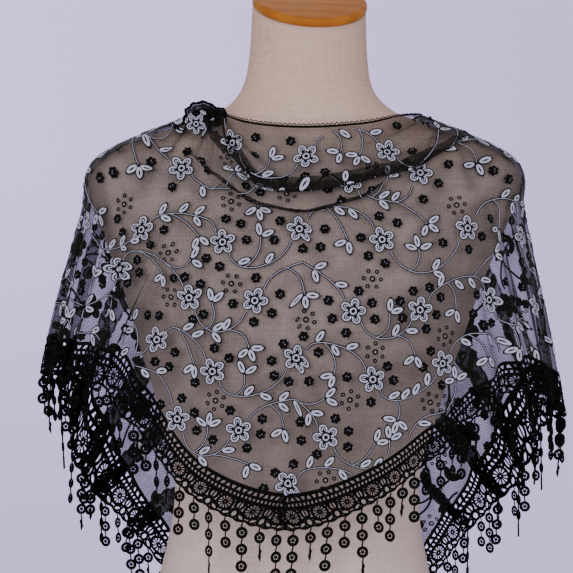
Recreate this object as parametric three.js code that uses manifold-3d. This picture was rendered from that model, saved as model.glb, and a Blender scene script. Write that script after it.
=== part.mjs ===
// A triangular lace shawl draped over a limbless dress form.
// Millimetres, +Z up, the front faces -Y and +X is to the right as seen from the front.
// The origin is the middle of the base board's underside.
//
// The shawl is one surface, clothPoint(rib, down). Ribs are the cloth's fall lines: rib 0 is the middle of the
// front, rib -9 and 9 are the tips of the two ends. down is 0 on the long edge and 1 on the hem.

import * as THREE from 'three';
import { mergeVertices } from 'three/addons/utils/BufferGeometryUtils.js';
import Module from 'manifold-3d';

const wasm = await Module();
wasm.setup();

// Driving dimensions of the flat shawl
const HALF_LONG_EDGE = 750;
const DEPTH = 460;
const HEM_LENGTH = Math.hypot(HALF_LONG_EDGE, DEPTH);
const EDGING_DEPTH = 32;
const TIP_SHARE = 0.94; // of the shawl's width, taken by the edging near the tips
const NET_WALL = 1.2;
const EDGING_WALL = 1.8;
const BINDING_RADIUS = 1.3;
const BINDING_GAP = 0.9;
const SEAM_GAP = 0.35;
const BRAID_GAP = 0.6; // along a rib, which crosses the seam at a slant
const STRETCH_GAP = 0.008; // in ribs, half of the gap between two stretches

// How the cloth lies
const FORM_CLEARANCE = 6; // form to the middle of the cloth
const LIFT_OFF = 8; // how softly the cloth leaves the form
const REST_AT = 0.45; // where on a rib the cloth leaves the form
const REST_SOFTNESS = 0.09;

// The dress form
const BOARD_THICKNESS = 12;
const FORM_BOTTOM = BOARD_THICKNESS + SEAM_GAP;
const FORM_TOP = 762;
const NECK_SLANT = Math.tan(THREE.MathUtils.degToRad(24));
const SIDE_SLANT = -Math.tan(THREE.MathUtils.degToRad(4.5));
const SLANT_START = 690;
const CAP_RADIUS = 55;
const CAP_THICKNESS = 9;
const FORM_SIDES = 32;

// Guipure edging and fringe
const REPEAT = 27;
const STRAND_PITCH = 17;
const STRIP_GAP = 0.8;
const STRIP_DEPTH = 2.6;
const STRIP_WALL = 1.6;
const ROOT_DEPTH = 0.6; // of the strip, where the strands start
const DISC_RADIUS = 5.4;
const DISC_THICKNESS = 1.1;
const DISC_GAP = 4.5;
const FIRST_DISC = 10; // below the strand's root
const CORD_RADIUS = 0.8;

const rows = (columns, values) => values.map((line) => Object.fromEntries(columns.map((name, i) => [name, line[i]])));

// Sections of the form: middle in x, half width, depth to the front and back, and how square the section is
const FORM_ROWS = rows(['z', 'middle', 'halfWidth', 'front', 'back', 'power'], [
  [0, -12, 156, 102, 114, 2.3],
  [60, -12, 165, 108, 123, 2.3],
  [120, -11, 158, 105, 120, 2.3],
  [210, -10, 132, 94, 98, 2.3],
  [300, -8, 117, 90, 80, 2.2],
  [370, -6, 132, 104, 88, 2.2],
  [440, -5, 154, 124, 101, 2.2],
  [500, -3, 173, 122, 109, 2.3],
  [550, -2, 193, 105, 110, 2.4],
  [585, -1, 206, 88, 101, 2.4],
  [610, 0, 203, 75, 88, 2.4],
  [626, 0, 182, 68, 79, 2.3],
  [640, 0, 149, 64, 71, 2.2],
  [651, 1, 115, 60, 64, 2.1],
  [663, 2, 83, 56, 57, 2.0],
  [682, 2, 64, 53, 52, 2.0],
  [710, 3, 57, 52, 51, 2.0],
  [765, 4, 54, 53, 53, 2.0],
]);
const NECK_MIDDLE = 4;

// Ribs of the cloth. flat is the rib's place on the long edge laid flat and hemFlat its place on the hem, both from
// the middle. The rib runs from its edge point over its rest point, where it leaves the form, to its hem point.
const RIB_COLUMNS = ['flat', 'hemFlat', 'edgeX', 'edgeY', 'edgeZ', 'restX', 'restY', 'restZ', 'hemX', 'hemY', 'hemZ'];
const RIBS = rows(RIB_COLUMNS, [
  [-750, -880, -78, 135, 100, -78, 135, 100, -80, 135, 100],
  [-640, -800, -92, 124, 215, -104, 128, 194, -118, 131, 170],
  [-480, -705, -104, 114, 362, -132, 120, 312, -172, 124, 243],
  [-330, -590, -90, 112, 510, -152, 111, 440, -218, 96, 301],
  [-200, -480, -94, 66, 634, -196, 56, 580, -233, 54, 384],
  [-120, -388, -104, 0, 658, -204, 0, 612, -247, 0, 418],
  [-90, -290, -84, -38, 655, -168, -72, 560, -210, -52, 414],
  [-60, -190, -60, -61, 648, -114, -116, 505, -164, -94, 378],
  [-30, -95, -30, -70, 645, -62, -128, 480, -104, -119, 307],
  [0, 0, 0, -73, 644, -4, -131, 470, -19, -127, 277],
  [30, 95, 30, -70, 645, 58, -128, 480, 66, -124, 305],
  [60, 190, 62, -62, 648, 112, -116, 505, 128, -108, 353],
  [90, 290, 94, -36, 654, 168, -72, 560, 197, -62, 404],
  [120, 388, 112, 0, 656, 204, 0, 612, 243, -4, 376],
  [200, 480, 98, 66, 634, 194, 56, 580, 232, 52, 362],
  [330, 590, 90, 112, 510, 148, 111, 444, 210, 95, 299],
  [480, 705, 102, 114, 362, 126, 120, 310, 160, 124, 236],
  [640, 800, 88, 124, 212, 98, 128, 190, 110, 131, 164],
  [750, 880, 74, 135, 98, 74, 135, 98, 76, 135, 98],
]);
const MIDDLE_RIB = 9;

// Where the border hangs steeply, the cloth above it sinks and leaves its whole depth in sight, round each of these
// ribs and over a width of ribs
const HEM_SPREADS = rows(['rib', 'width', 'gain'], [
  [-5.6, 0.8, 0.7],
  [-2.35, 0.7, 0.85],
  [5.6, 0.8, 0.7],
]);

// Hanging folds: each is a ridge down a rib that grows from start to full and leans with depth
const HANGING_FOLDS = rows(['rib', 'lean', 'width', 'start', 'full', 'height'], [
  [-7.4, 0.1, 0.16, 0.1, 0.8, 7],
  [-6.9, 0.1, 0.14, 0.2, 0.9, 9],
  [-6.3, 0.0, 0.15, 0.2, 0.9, 10],
  [-5.7, 0.1, 0.14, 0.3, 0.9, 11],
  [-5.1, 0.0, 0.15, 0.35, 0.9, 12],
  [-4.5, 0.1, 0.13, 0.4, 0.95, 12],
  [-3.9, 0.0, 0.12, 0.4, 0.9, 9],
  [-3.35, 0.1, 0.13, 0.35, 0.9, 13],
  [-2.7, 0.0, 0.12, 0.45, 0.95, 8],
  [-2.0, -0.1, 0.14, 0.55, 1.0, 6],
  [1.9, 0.1, 0.14, 0.55, 1.0, 6],
  [2.6, 0.0, 0.12, 0.45, 0.95, 9],
  [3.2, -0.1, 0.13, 0.3, 0.9, 13],
  [3.75, 0.0, 0.11, 0.35, 0.9, 10],
  [4.3, 0.0, 0.12, 0.4, 0.95, 11],
  [4.9, 0.0, 0.15, 0.4, 0.9, 12],
  [5.5, -0.1, 0.14, 0.3, 0.9, 10],
  [6.1, 0.0, 0.15, 0.2, 0.9, 11],
  [6.8, -0.1, 0.14, 0.2, 0.9, 9],
  [7.4, 0.0, 0.16, 0.1, 0.8, 7],
]);

// Cowl folds across the chest: each follows a line of [rib, down] points and fades at its ends
const COWL_FOLDS = [
  { width: 0.022, height: 9, line: [[-3.2, 0.05], [-1.9, 0.09], [-1, 0.145], [1.7, 0.135], [2.6, 0.16], [3.8, 0.22]] },
  { width: 0.018, height: 6, line: [[-3.1, 0.15], [-2, 0.17], [-1, 0.2], [0, 0.205], [1, 0.19], [2, 0.15]] },
  { width: 0.03, height: 5, line: [[-3, 0.29], [-2, 0.33], [-1, 0.38], [0, 0.42]] },
  { width: 0.02, height: 5, line: [[0.6, 0.06], [1.6, 0.07], [2.6, 0.1], [3.6, 0.15]] },
];

// Discs on one strand of the fringe, in the order the strands follow
const STRAND_DISCS = [3, 2, 3, 2, 4, 2];

const MATERIALS = {
  net: new THREE.MeshStandardMaterial({ color: 0x2a2626, roughness: 0.85, metalness: 0 }),
  guipure: new THREE.MeshStandardMaterial({ color: 0x141216, roughness: 0.8, metalness: 0 }),
  linen: new THREE.MeshStandardMaterial({ color: 0xd8cbb8, roughness: 0.9, metalness: 0 }),
  wood: new THREE.MeshStandardMaterial({ color: 0xc98f4e, roughness: 0.4, metalness: 0 }),
};

const lerp = THREE.MathUtils.lerp;
const smoothstep = THREE.MathUtils.smoothstep;

// A ramp that is 0 below 0 and x above it, rounded over about softness
const softRamp = (x, softness) => 0.5 * (x + Math.hypot(x, softness));

// A row between two rows of a table, on the cubic curve through them with the given slopes
function cubicRow(from, to, before, after, s) {
  const row = {};
  for (const name of Object.keys(from)) {
    const rise = to[name] - from[name];
    const bend = 3 * rise - 2 * before[name] - after[name];
    const turn = before[name] + after[name] - 2 * rise;
    row[name] = from[name] + s * (before[name] + s * (bend + s * turn));
  }
  return row;
}

// How a table's values change about row i, over a step of the given share of the way between its neighbours
function slopeAt(table, i, shareOf) {
  const before = table[Math.max(i - 1, 0)];
  const after = table[Math.min(i + 1, table.length - 1)];
  const share = shareOf(before, after);
  return Object.fromEntries(Object.keys(before).map((name) => [name, (after[name] - before[name]) * share]));
}

// The cloth's rib table at a fractional rib
function ribAt(rib) {
  const i = THREE.MathUtils.clamp(Math.floor(rib + MIDDLE_RIB), 0, RIBS.length - 2);
  const half = () => 0.5;
  return cubicRow(RIBS[i], RIBS[i + 1], slopeAt(RIBS, i, half), slopeAt(RIBS, i + 1, half), rib + MIDDLE_RIB - i);
}

// The form's section at a height, smooth across its unevenly spaced rows
function formSection(z) {
  const below = FORM_ROWS.findLastIndex((row) => row.z <= z);
  const i = THREE.MathUtils.clamp(below, 0, FORM_ROWS.length - 2);
  const step = FORM_ROWS[i + 1].z - FORM_ROWS[i].z;
  const share = (before, after) => step / (after.z - before.z);
  const s = THREE.MathUtils.clamp((z - FORM_ROWS[i].z) / step, 0, 1);
  const slopes = [i, i + 1].map((row) => slopeAt(FORM_ROWS, row, share));
  return cubicRow(FORM_ROWS[i], FORM_ROWS[i + 1], ...slopes, s);
}

// 1 on the form's surface, less inside it and more outside
function formLevel(p) {
  const { middle, halfWidth, front, back, power } = formSection(p.z);
  const depth = p.y < 0 ? front : back;
  return (Math.abs((p.x - middle) / halfWidth) ** power + Math.abs(p.y / depth) ** power) ** (1 / power);
}

// Distance outside the form, to first order, and the direction that leads away from it
function awayFromForm(p) {
  const step = 0.5;
  const level = formLevel(p);
  const slope = new THREE.Vector3();
  for (const axis of ['x', 'y', 'z']) {
    const moved = p.clone();
    moved[axis] += step;
    slope[axis] = (formLevel(moved) - level) / step;
  }
  const steepness = slope.length();
  return { distance: (level - 1) / steepness, direction: slope.divideScalar(steepness) };
}

function clearOfForm(p) {
  let { distance, direction } = awayFromForm(p);
  const wanted = FORM_CLEARANCE + softRamp(distance - FORM_CLEARANCE, LIFT_OFF);
  for (let pass = 0; pass < 3; pass += 1) {
    p.addScaledVector(direction, wanted - distance);
    ({ distance, direction } = awayFromForm(p));
  }
  return direction;
}

function hangingFoldHeight(rib, down) {
  let height = 0;
  for (const fold of HANGING_FOLDS) {
    const across = (rib - fold.rib - fold.lean * (down - fold.start)) / fold.width;
    height += fold.height * smoothstep(down, fold.start, fold.full) * Math.exp(-across * across);
  }
  return height;
}

function cowlFoldHeight(rib, down) {
  let height = 0;
  for (const { width, height: top, line } of COWL_FOLDS) {
    const first = line[0][0];
    const last = line[line.length - 1][0];
    const at = THREE.MathUtils.clamp(rib, first, last);
    let i = 0;
    while (line[i + 1][0] < at) {
      i += 1;
    }
    const [ribA, downA] = line[i];
    const [ribB, downB] = line[i + 1];
    const middle = lerp(downA, downB, smoothstep(at, ribA, ribB));
    const across = (down - middle) / width;
    const fade = smoothstep(rib, first, first + 0.8) * (1 - smoothstep(rib, last - 0.8, last));
    height += top * fade * Math.exp(-across * across);
  }
  return height;
}

// How far the cloth above the hem sinks, as a share of its hanging length
function hemSpread(rib, hanging) {
  const above = Math.min(hanging, 1);
  let gain = 0;
  for (const spread of HEM_SPREADS) {
    gain += spread.gain * Math.exp(-(((rib - spread.rib) / spread.width) ** 2));
  }
  return gain * above * (1 - above);
}

// The middle of the cloth
function clothPoint(rib, down) {
  const r = ribAt(rib);
  const past = softRamp(down - REST_AT, REST_SOFTNESS);
  const onForm = (down - past) / REST_AT;
  const hanging = past / (1 - REST_AT);
  const edge = new THREE.Vector3(r.edgeX, r.edgeY, r.edgeZ);
  const rest = new THREE.Vector3(r.restX, r.restY, r.restZ);
  const hem = new THREE.Vector3(r.hemX, r.hemY, r.hemZ);
  const p = edge.clone();
  p.addScaledVector(rest.clone().sub(edge), onForm);
  p.addScaledVector(hem.sub(rest), hanging - hemSpread(rib, hanging));
  const out = clearOfForm(p);
  return p.addScaledVector(out, hangingFoldHeight(rib, down) + cowlFoldHeight(rib, down));
}

// A point of the cloth with the direction that faces away from the form and the one along the ribs' order
function clothFrame(rib, down) {
  const ribStep = 0.01;
  const downStep = 0.004;
  const point = clothPoint(rib, down);
  const along = clothPoint(rib + ribStep, down).sub(clothPoint(rib - ribStep, down)).normalize();
  const fall = clothPoint(rib, down + downStep).sub(clothPoint(rib, down - downStep)).normalize();
  return { point, along, fall, normal: fall.clone().cross(along).normalize() };
}

// Straight distance from the long edge to the hem on the flat cloth, at a rib
const flatDepthAt = (rib) => DEPTH * (HALF_LONG_EDGE - Math.abs(ribAt(rib).flat)) / HEM_LENGTH;

// Depth on the edging or past the hem, in mm from the edging's seam, as a value of down. Near the tips, where the
// shawl is narrower than the edging, the edging narrows with it.
function downOnEdging(rib, depth) {
  const whole = flatDepthAt(rib);
  const narrowing = Math.min(1, TIP_SHARE * whole / EDGING_DEPTH);
  return 1 + (depth - EDGING_DEPTH) * (depth < EDGING_DEPTH ? narrowing : 1) / whole;
}

function ribAtHem(hemFlat) {
  let low = -MIDDLE_RIB;
  let high = MIDDLE_RIB;
  for (let pass = 0; pass < 40; pass += 1) {
    const middle = 0.5 * (low + high);
    if (ribAt(middle).hemFlat < hemFlat) {
      low = middle;
    } else {
      high = middle;
    }
  }
  return 0.5 * (low + high);
}

// Geometry from corner points and quads, each quad split in two triangles
function quadGeometry(corners, quads) {
  const positions = corners.flatMap((p) => [p.x, p.y, p.z]);
  const index = quads.flatMap(([a, b, c, d]) => (d === undefined ? [a, b, c] : [a, b, c, a, c, d]));
  const geometry = new THREE.BufferGeometry();
  geometry.setAttribute('position', new THREE.Float32BufferAttribute(positions, 3));
  geometry.setIndex(index);
  return geometry;
}

// A wall on both sides of a grid of cloth frames. isCloth(i, j) tells which cells are cloth and which are holes.
function wallGeometry(columns, thickness, isCloth = () => true) {
  const across = columns.length - 1;
  const downward = columns[0].length - 1;
  const corners = [];
  for (const column of columns) {
    for (const { point, normal } of column) {
      corners.push(point.clone().addScaledVector(normal, thickness / 2));
      corners.push(point.clone().addScaledVector(normal, -thickness / 2));
    }
  }
  const outer = (i, j) => 2 * (i * (downward + 1) + j);
  const inner = (i, j) => outer(i, j) + 1;
  const cloth = (i, j) => i >= 0 && j >= 0 && i < across && j < downward && isCloth(i, j);
  const quads = [];
  for (let i = 0; i < across; i += 1) {
    for (let j = 0; j < downward; j += 1) {
      if (!cloth(i, j)) {
        continue;
      }
      const loop = [[i, j], [i, j + 1], [i + 1, j + 1], [i + 1, j]];
      const beside = [[i - 1, j], [i, j + 1], [i + 1, j], [i, j - 1]];
      quads.push(loop.map(([a, b]) => outer(a, b)));
      quads.push(loop.map(([a, b]) => inner(a, b)).reverse());
      loop.forEach((from, side) => {
        const to = loop[(side + 1) % loop.length];
        if (!cloth(...beside[side])) {
          quads.push([outer(...to), outer(...from), inner(...from), inner(...to)]);
        }
      });
    }
  }
  return quadGeometry(corners, quads);
}

// A closed stack of rings, all with the same number of corners, counter-clockwise seen from the last ring
function ringStack(rings) {
  const sides = rings[0].length;
  const quads = [];
  for (let k = 0; k + 1 < rings.length; k += 1) {
    for (let i = 0; i < sides; i += 1) {
      const next = (i + 1) % sides;
      quads.push([k * sides + i, k * sides + next, (k + 1) * sides + next, (k + 1) * sides + i]);
    }
  }
  const top = (rings.length - 1) * sides;
  for (let i = 1; i + 1 < sides; i += 1) {
    quads.push([0, i + 1, i]);
    quads.push([top, top + i, top + i + 1]);
  }
  return quadGeometry(rings.flat(), quads);
}

function solidOf(geometry) {
  const bare = geometry.clone();
  bare.deleteAttribute('normal');
  bare.deleteAttribute('uv');
  const merged = mergeVertices(bare, 1e-3);
  return new wasm.Manifold(new wasm.Mesh({
    numProp: 3,
    vertProperties: merged.attributes.position.array,
    triVerts: new Uint32Array(merged.index.array),
  }));
}

function geometryOf(solid) {
  const mesh = solid.getMesh();
  const geometry = new THREE.BufferGeometry();
  geometry.setAttribute('position', new THREE.BufferAttribute(new Float32Array(mesh.vertProperties), 3));
  geometry.setIndex(new THREE.BufferAttribute(new Uint32Array(mesh.triVerts), 1));
  return geometry;
}

const shawlOnForm = new THREE.Group();

function addPiece(name, geometry, material) {
  const piece = new THREE.Mesh(geometry, material.clone());
  piece.name = name;
  shawlOnForm.add(piece);
  return piece;
}

const spread = (from, to, steps) => Array.from({ length: steps + 1 }, (_, i) => lerp(from, to, i / steps));

// Net, one wall for each stretch, with its columns on the ribs of the braid below it
function addNet(name, ribs, stops) {
  const columns = ribs.map((rib) => {
    const last = downOnEdging(rib, 0) - BRAID_GAP / flatDepthAt(rib);
    return stops.map((stop) => clothFrame(rib, stop * last));
  });
  addPiece(name, wallGeometry(columns, NET_WALL), MATERIALS.net);
}

// Guipure braid: depths of its bars and rows of holes, and which half of the repeat each row leaves open
const BRAID_ROWS = rows(['depth', 'openHalf'], [
  [0, -1],
  [6, 0],
  [15, -1],
  [20, 1],
  [29, -1],
]);
const HOLE_SHARE = 0.42; // of the repeat

// Ribs on which the braid's repeats start and change
function braidRibs(fromRib, toRib) {
  const from = ribAt(fromRib + STRETCH_GAP).hemFlat;
  const to = ribAt(toRib - STRETCH_GAP).hemFlat;
  const repeats = Math.round((to - from) / REPEAT);
  const stops = [];
  for (let i = 0; i < repeats; i += 1) {
    stops.push(i / repeats, (i + HOLE_SHARE) / repeats);
  }
  stops.push(1);
  return stops.map((stop) => ribAtHem(lerp(from, to, stop)));
}

function addEdging(name, fromRib, toRib) {
  const depths = [...BRAID_ROWS.map((row) => row.depth), EDGING_DEPTH];
  const columns = braidRibs(fromRib, toRib).map((rib) => (
    depths.map((depth) => clothFrame(rib, downOnEdging(rib, depth)))
  ));
  const isCloth = (i, j) => BRAID_ROWS[j].openHalf !== i % 2 || i === 0 || i === columns.length - 2;
  addPiece(name, wallGeometry(columns, EDGING_WALL, isCloth), MATERIALS.guipure);
}

// One strand: a cord of three sides with flat discs, hanging straight down from its root
function strandSolid(root, along, out, discs) {
  const pitch = 2 * DISC_RADIUS + DISC_GAP;
  const profile = [[0, CORD_RADIUS * 0.8, CORD_RADIUS * 0.6]];
  for (let disc = 0; disc < discs; disc += 1) {
    const middle = FIRST_DISC + pitch * disc;
    profile.push([middle, DISC_RADIUS, DISC_THICKNESS]);
    profile.push([middle + pitch / 2, CORD_RADIUS, CORD_RADIUS]);
  }
  const rings = profile.map(([below, wide, thick]) => {
    const middle = root.clone().add(new THREE.Vector3(0, 0, -below));
    return [[1, 0], [-1, 1], [-1, -1]].map(([a, b]) => (
      middle.clone().addScaledVector(along, a * wide).addScaledVector(out, b * thick)
    ));
  });
  return solidOf(ringStack(rings.reverse()));
}

// Strands stand at an even pitch on the strip, which bends where the braid above it does
function addFringe(name, fromRib, toRib) {
  const ribs = braidRibs(fromRib, toRib);
  const places = ribs.map((rib) => ribAt(rib).hemFlat);
  const strip = ribs.map((rib) => [STRIP_GAP, STRIP_GAP + STRIP_DEPTH].map((below) => (
    clothFrame(rib, downOnEdging(rib, EDGING_DEPTH + below))
  )));
  let fringe = solidOf(wallGeometry(strip, STRIP_WALL));
  const length = places[places.length - 1] - places[0];
  const strands = Math.floor(length / STRAND_PITCH);
  const margin = (length - (strands - 1) * STRAND_PITCH) / 2;
  for (let n = 0; n < strands; n += 1) {
    const place = places[0] + margin + n * STRAND_PITCH;
    const i = places.findIndex((next) => next > place) - 1;
    const share = (place - places[i]) / (places[i + 1] - places[i]);
    const middleOf = ([upper, lower]) => upper.point.clone().lerp(lower.point, ROOT_DEPTH);
    const root = middleOf(strip[i]).lerp(middleOf(strip[i + 1]), share);
    const along = strip[i][0].along.clone().lerp(strip[i + 1][0].along, share).setZ(0).normalize();
    const out = new THREE.Vector3(-along.y, along.x, 0);
    fringe = fringe.add(strandSolid(root, along, out, STRAND_DISCS[n % STRAND_DISCS.length]));
  }
  addPiece(name, geometryOf(fringe), MATERIALS.guipure);
}

// Rolled binding on the long edge: a square cord just off the net
function addBinding(name, fromRib, toRib, steps) {
  const off = -(BINDING_GAP + BINDING_RADIUS);
  const rings = spread(fromRib + STRETCH_GAP, toRib - STRETCH_GAP, steps).map((rib) => {
    const { point, fall, normal } = clothFrame(rib, 0);
    const middle = point.addScaledVector(fall, off);
    return [[1, 0], [0, 1], [-1, 0], [0, -1]].map(([a, b]) => (
      middle.clone().addScaledVector(normal, a * BINDING_RADIUS).addScaledVector(fall, b * BINDING_RADIUS)
    ));
  });
  addPiece(name, ringStack(rings), MATERIALS.guipure);
}

// Gathered loop left of the neck: a pleated hood that stands on the net between two ribs
const GATHER = { fromRib: -2.5, toRib: -3.75, down: 0.06, lift: 6, height: 26, pleats: 7, pleatDepth: 2.2 };

function addGather() {
  const [from, to] = [GATHER.fromRib, GATHER.toRib].map((rib) => clothFrame(rib, GATHER.down));
  const away = from.normal.clone().add(to.normal).normalize();
  const middle = from.point.clone().lerp(to.point, 0.5).addScaledVector(away, GATHER.lift);
  const half = to.point.clone().sub(from.point).divideScalar(2);
  const up = new THREE.Vector3(0, -0.3, 1).normalize();
  const across = half.clone().cross(up).normalize();
  const columns = spread(0, Math.PI, GATHER.pleats * 3).map((angle) => {
    const rim = half.clone().multiplyScalar(-Math.cos(angle)).addScaledVector(up, Math.sin(angle) * GATHER.height);
    const pleat = GATHER.pleatDepth * Math.cos(2 * GATHER.pleats * angle);
    return spread(1, 0.3, 3).map((reach) => ({
      point: middle.clone().addScaledVector(rim, reach).addScaledVector(across, pleat * reach),
      normal: across,
    }));
  });
  addPiece('left_gather', wallGeometry(columns, NET_WALL), MATERIALS.net);
}

// Dress form
function formRing(z, grow = 0) {
  const { middle, halfWidth, front, back, power } = formSection(z);
  const slant = smoothstep(z, SLANT_START, FORM_TOP);
  return spread(0, 2 * Math.PI, FORM_SIDES).slice(0, FORM_SIDES).map((angle) => {
    const reach = (value) => Math.sign(value) * Math.abs(value) ** (2 / power);
    const y = reach(Math.sin(angle));
    const depth = (y < 0 ? front : back) + grow;
    const point = new THREE.Vector3(middle + reach(Math.cos(angle)) * (halfWidth + grow), y * depth, z);
    point.z += slant * (NECK_SLANT * point.y + SIDE_SLANT * point.x);
    return point;
  });
}

function addForm() {
  const heights = [FORM_BOTTOM, ...FORM_ROWS.slice(1, -1).map((row) => row.z), FORM_TOP];
  const between = [255, 335, 405, 470, 526, 569, 597, 641];
  const levels = [...heights, ...between].sort((a, b) => a - b);
  addPiece('torso', ringStack(levels.map((z) => formRing(z))), MATERIALS.linen);
}

function addNeckCap() {
  const edge = 3; // how far the cap's corners are rounded off
  const profile = [
    [0, 0],
    [CAP_RADIUS - edge, 0],
    [CAP_RADIUS, edge],
    [CAP_RADIUS, CAP_THICKNESS - edge],
    [CAP_RADIUS - edge, CAP_THICKNESS],
    [0, CAP_THICKNESS],
  ].map(([radius, height]) => new THREE.Vector2(radius, height));
  const disc = new THREE.LatheGeometry(profile, FORM_SIDES);
  disc.rotateX(Math.PI / 2);
  const cap = addPiece('neck_cap', disc, MATERIALS.wood);
  const upright = new THREE.Vector3(0, 0, 1);
  const normal = new THREE.Vector3(-SIDE_SLANT, -NECK_SLANT, 1).normalize();
  cap.position.set(NECK_MIDDLE, 0, FORM_TOP + SIDE_SLANT * NECK_MIDDLE).addScaledVector(normal, SEAM_GAP);
  cap.quaternion.setFromUnitVectors(upright, normal);
}

function addBaseBoard() {
  const inset = -6;
  const lower = formRing(0, inset).map((p) => p.setZ(0));
  const upper = formRing(0, inset).map((p) => p.setZ(BOARD_THICKNESS));
  addPiece('base_board', ringStack([lower, upper]), MATERIALS.wood);
}

// Where the net's rows lie, as shares of its depth: closer where it bends over a shoulder or in a cowl
const BACK_STOPS = spread(0, 1, 6);
const SHOULDER_STOPS = [0, 0.12, 0.25, 0.36, 0.44, 0.5, 0.56, 0.66, 0.82, 1];
const FRONT_STOPS = [0, 0.07, 0.12, 0.17, 0.23, 0.3, 0.4, 0.5, 0.62, 0.75, 0.88, 1];

const STRETCHES = rows(['name', 'fromRib', 'toRib', 'bindingSteps', 'stops'], [
  ['left_back', -8.7, -5.4, 10, BACK_STOPS],
  ['left_shoulder', -5.4, -3.1, 9, SHOULDER_STOPS],
  ['front', -3.1, 3.1, 18, FRONT_STOPS],
  ['right_shoulder', 3.1, 5.4, 9, SHOULDER_STOPS],
  ['right_back', 5.4, 8.7, 10, BACK_STOPS],
]);
const EDGINGS = rows(['name', 'fromRib', 'toRib'], [
  ['left_back', -8.7, -5.4],
  ['left_shoulder', -5.4, -3.1],
  ['left_front', -3.1, 0],
  ['right_front', 0, 3.1],
  ['right_shoulder', 3.1, 5.4],
  ['right_back', 5.4, 8.7],
]);
const LAST_NET_RIB = 8.3;

addForm();
addNeckCap();
addBaseBoard();
for (const { name, fromRib, toRib, bindingSteps, stops } of STRETCHES) {
  const ribs = EDGINGS.filter((edging) => edging.fromRib >= fromRib && edging.toRib <= toRib)
    .flatMap((edging) => braidRibs(edging.fromRib, edging.toRib))
    .filter((rib) => Math.abs(rib) <= LAST_NET_RIB);
  addNet(`${name}_net`, ribs, stops);
  addBinding(`${name}_binding`, fromRib, toRib, bindingSteps);
}
for (const { name, fromRib, toRib } of EDGINGS) {
  addEdging(`${name}_edging`, fromRib, toRib);
  addFringe(`${name}_fringe`, fromRib, toRib);
}
addGather();

export default shawlOnForm;
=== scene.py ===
"""A triangular embroidered net shawl with lace edging, draped over a limbless dress form.

The drape is one surface: ribs are the cloth's fall lines, rib 0 in the middle of the front and ribs -9 and 9 at
the tips of the ends, and down runs from 0 on the long edge to 1 on the hem. Tables are in millimetres, meshes in
metres.
"""

import itertools
import logging
import math
from dataclasses import dataclass, field
from enum import Enum

import bmesh
import bpy
import numpy as np
from mathutils import Matrix, Vector


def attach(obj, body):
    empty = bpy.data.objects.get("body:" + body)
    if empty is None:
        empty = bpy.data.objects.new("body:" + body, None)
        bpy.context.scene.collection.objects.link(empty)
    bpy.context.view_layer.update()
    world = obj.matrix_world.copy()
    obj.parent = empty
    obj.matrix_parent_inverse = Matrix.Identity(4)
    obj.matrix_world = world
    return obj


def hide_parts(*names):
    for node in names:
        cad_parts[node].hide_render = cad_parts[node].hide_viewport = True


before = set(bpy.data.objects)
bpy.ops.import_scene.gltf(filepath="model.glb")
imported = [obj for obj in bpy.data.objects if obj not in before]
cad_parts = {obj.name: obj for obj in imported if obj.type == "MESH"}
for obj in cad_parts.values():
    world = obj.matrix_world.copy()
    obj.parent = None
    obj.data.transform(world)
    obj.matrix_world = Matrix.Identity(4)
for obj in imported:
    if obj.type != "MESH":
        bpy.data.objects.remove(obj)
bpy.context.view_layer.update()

MM = 0.001
LOG = logging.getLogger("lace_shawl")
Array = np.ndarray
Pair = tuple[float, float]
Triple = tuple[float, float, float]
Piece, Material = bpy.types.Object, bpy.types.Material
Socket, Tree = bpy.types.NodeSocket, bpy.types.NodeTree


# Tables and curves


class Table:
    """A short table of numbers with named columns."""

    def __init__(self, columns: str, rows: list[list[float]]) -> None:
        """Keep the rows and the names of their columns.

        Args:
            columns: Column names, parted by spaces.
            rows: One list of numbers for each row.
        """
        self.names = columns.split()
        self.values = np.array(rows, float)

    def column(self, name: str) -> Array:
        """Return one column by its name."""
        return self.values[:, self.names.index(name)]

    def spline(self, where: Array) -> Array:
        """Read the rows at fractional row numbers, along a Catmull-Rom curve.

        Args:
            where: Fractional row numbers.

        Returns:
            One row of values for each number.
        """
        last = len(self.values) - 1
        row = np.clip(np.floor(where).astype(int), 0, last - 1)
        s = (where - row)[:, None]
        a, b, c, d = (self.values[np.clip(row + n, 0, last)] for n in (-1, 0, 1, 2))
        return hermite(b, c, 0.5 * (c - a), 0.5 * (d - b), s)

    def smooth(self, at: Array) -> Array:
        """Read the rows at values of the first column, without kinks at uneven rows.

        Args:
            at: Values of the first column.

        Returns:
            One row of values for each.
        """
        keys = self.values[:, 0]
        slopes = np.gradient(self.values, axis=0) / np.gradient(keys)[:, None]
        row = np.clip(np.searchsorted(keys, at, side="right") - 1, 0, len(keys) - 2)
        step = (keys[row + 1] - keys[row])[:, None]
        s = np.clip((at - keys[row])[:, None] / step, 0, 1)
        return hermite(self.values[row], self.values[row + 1], slopes[row] * step, slopes[row + 1] * step, s)


def hermite(low: Array, high: Array, before: Array, after: Array, s: Array) -> Array:
    """Read a smooth curve between two values.

    Args:
        low: Value where s is 0.
        high: Value where s is 1.
        before: Slope at the first value.
        after: Slope at the second value.
        s: Share of the way.

    Returns:
        The values at s.
    """
    bend = 3 * (high - low) - 2 * before - after
    turn = before + after - 2 * (high - low)
    return low + s * (before + s * (bend + s * turn))


def table(columns: str, rows: list[list[float]]) -> Table:
    """Declare a table as a field of a dataclass."""
    return field(default_factory=lambda: Table(columns, rows))


def smoothstep(x: Array, low: float, high: float) -> Array:
    """Ease from 0 at low to 1 at high."""
    s = np.clip((x - low) / (high - low), 0, 1)
    return s * s * (3 - 2 * s)


def soft_ramp(x: Array, softness: float) -> Array:
    """Give 0 below 0 and x above it, rounded over about softness."""
    return 0.5 * (x + np.hypot(x, softness))


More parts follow.
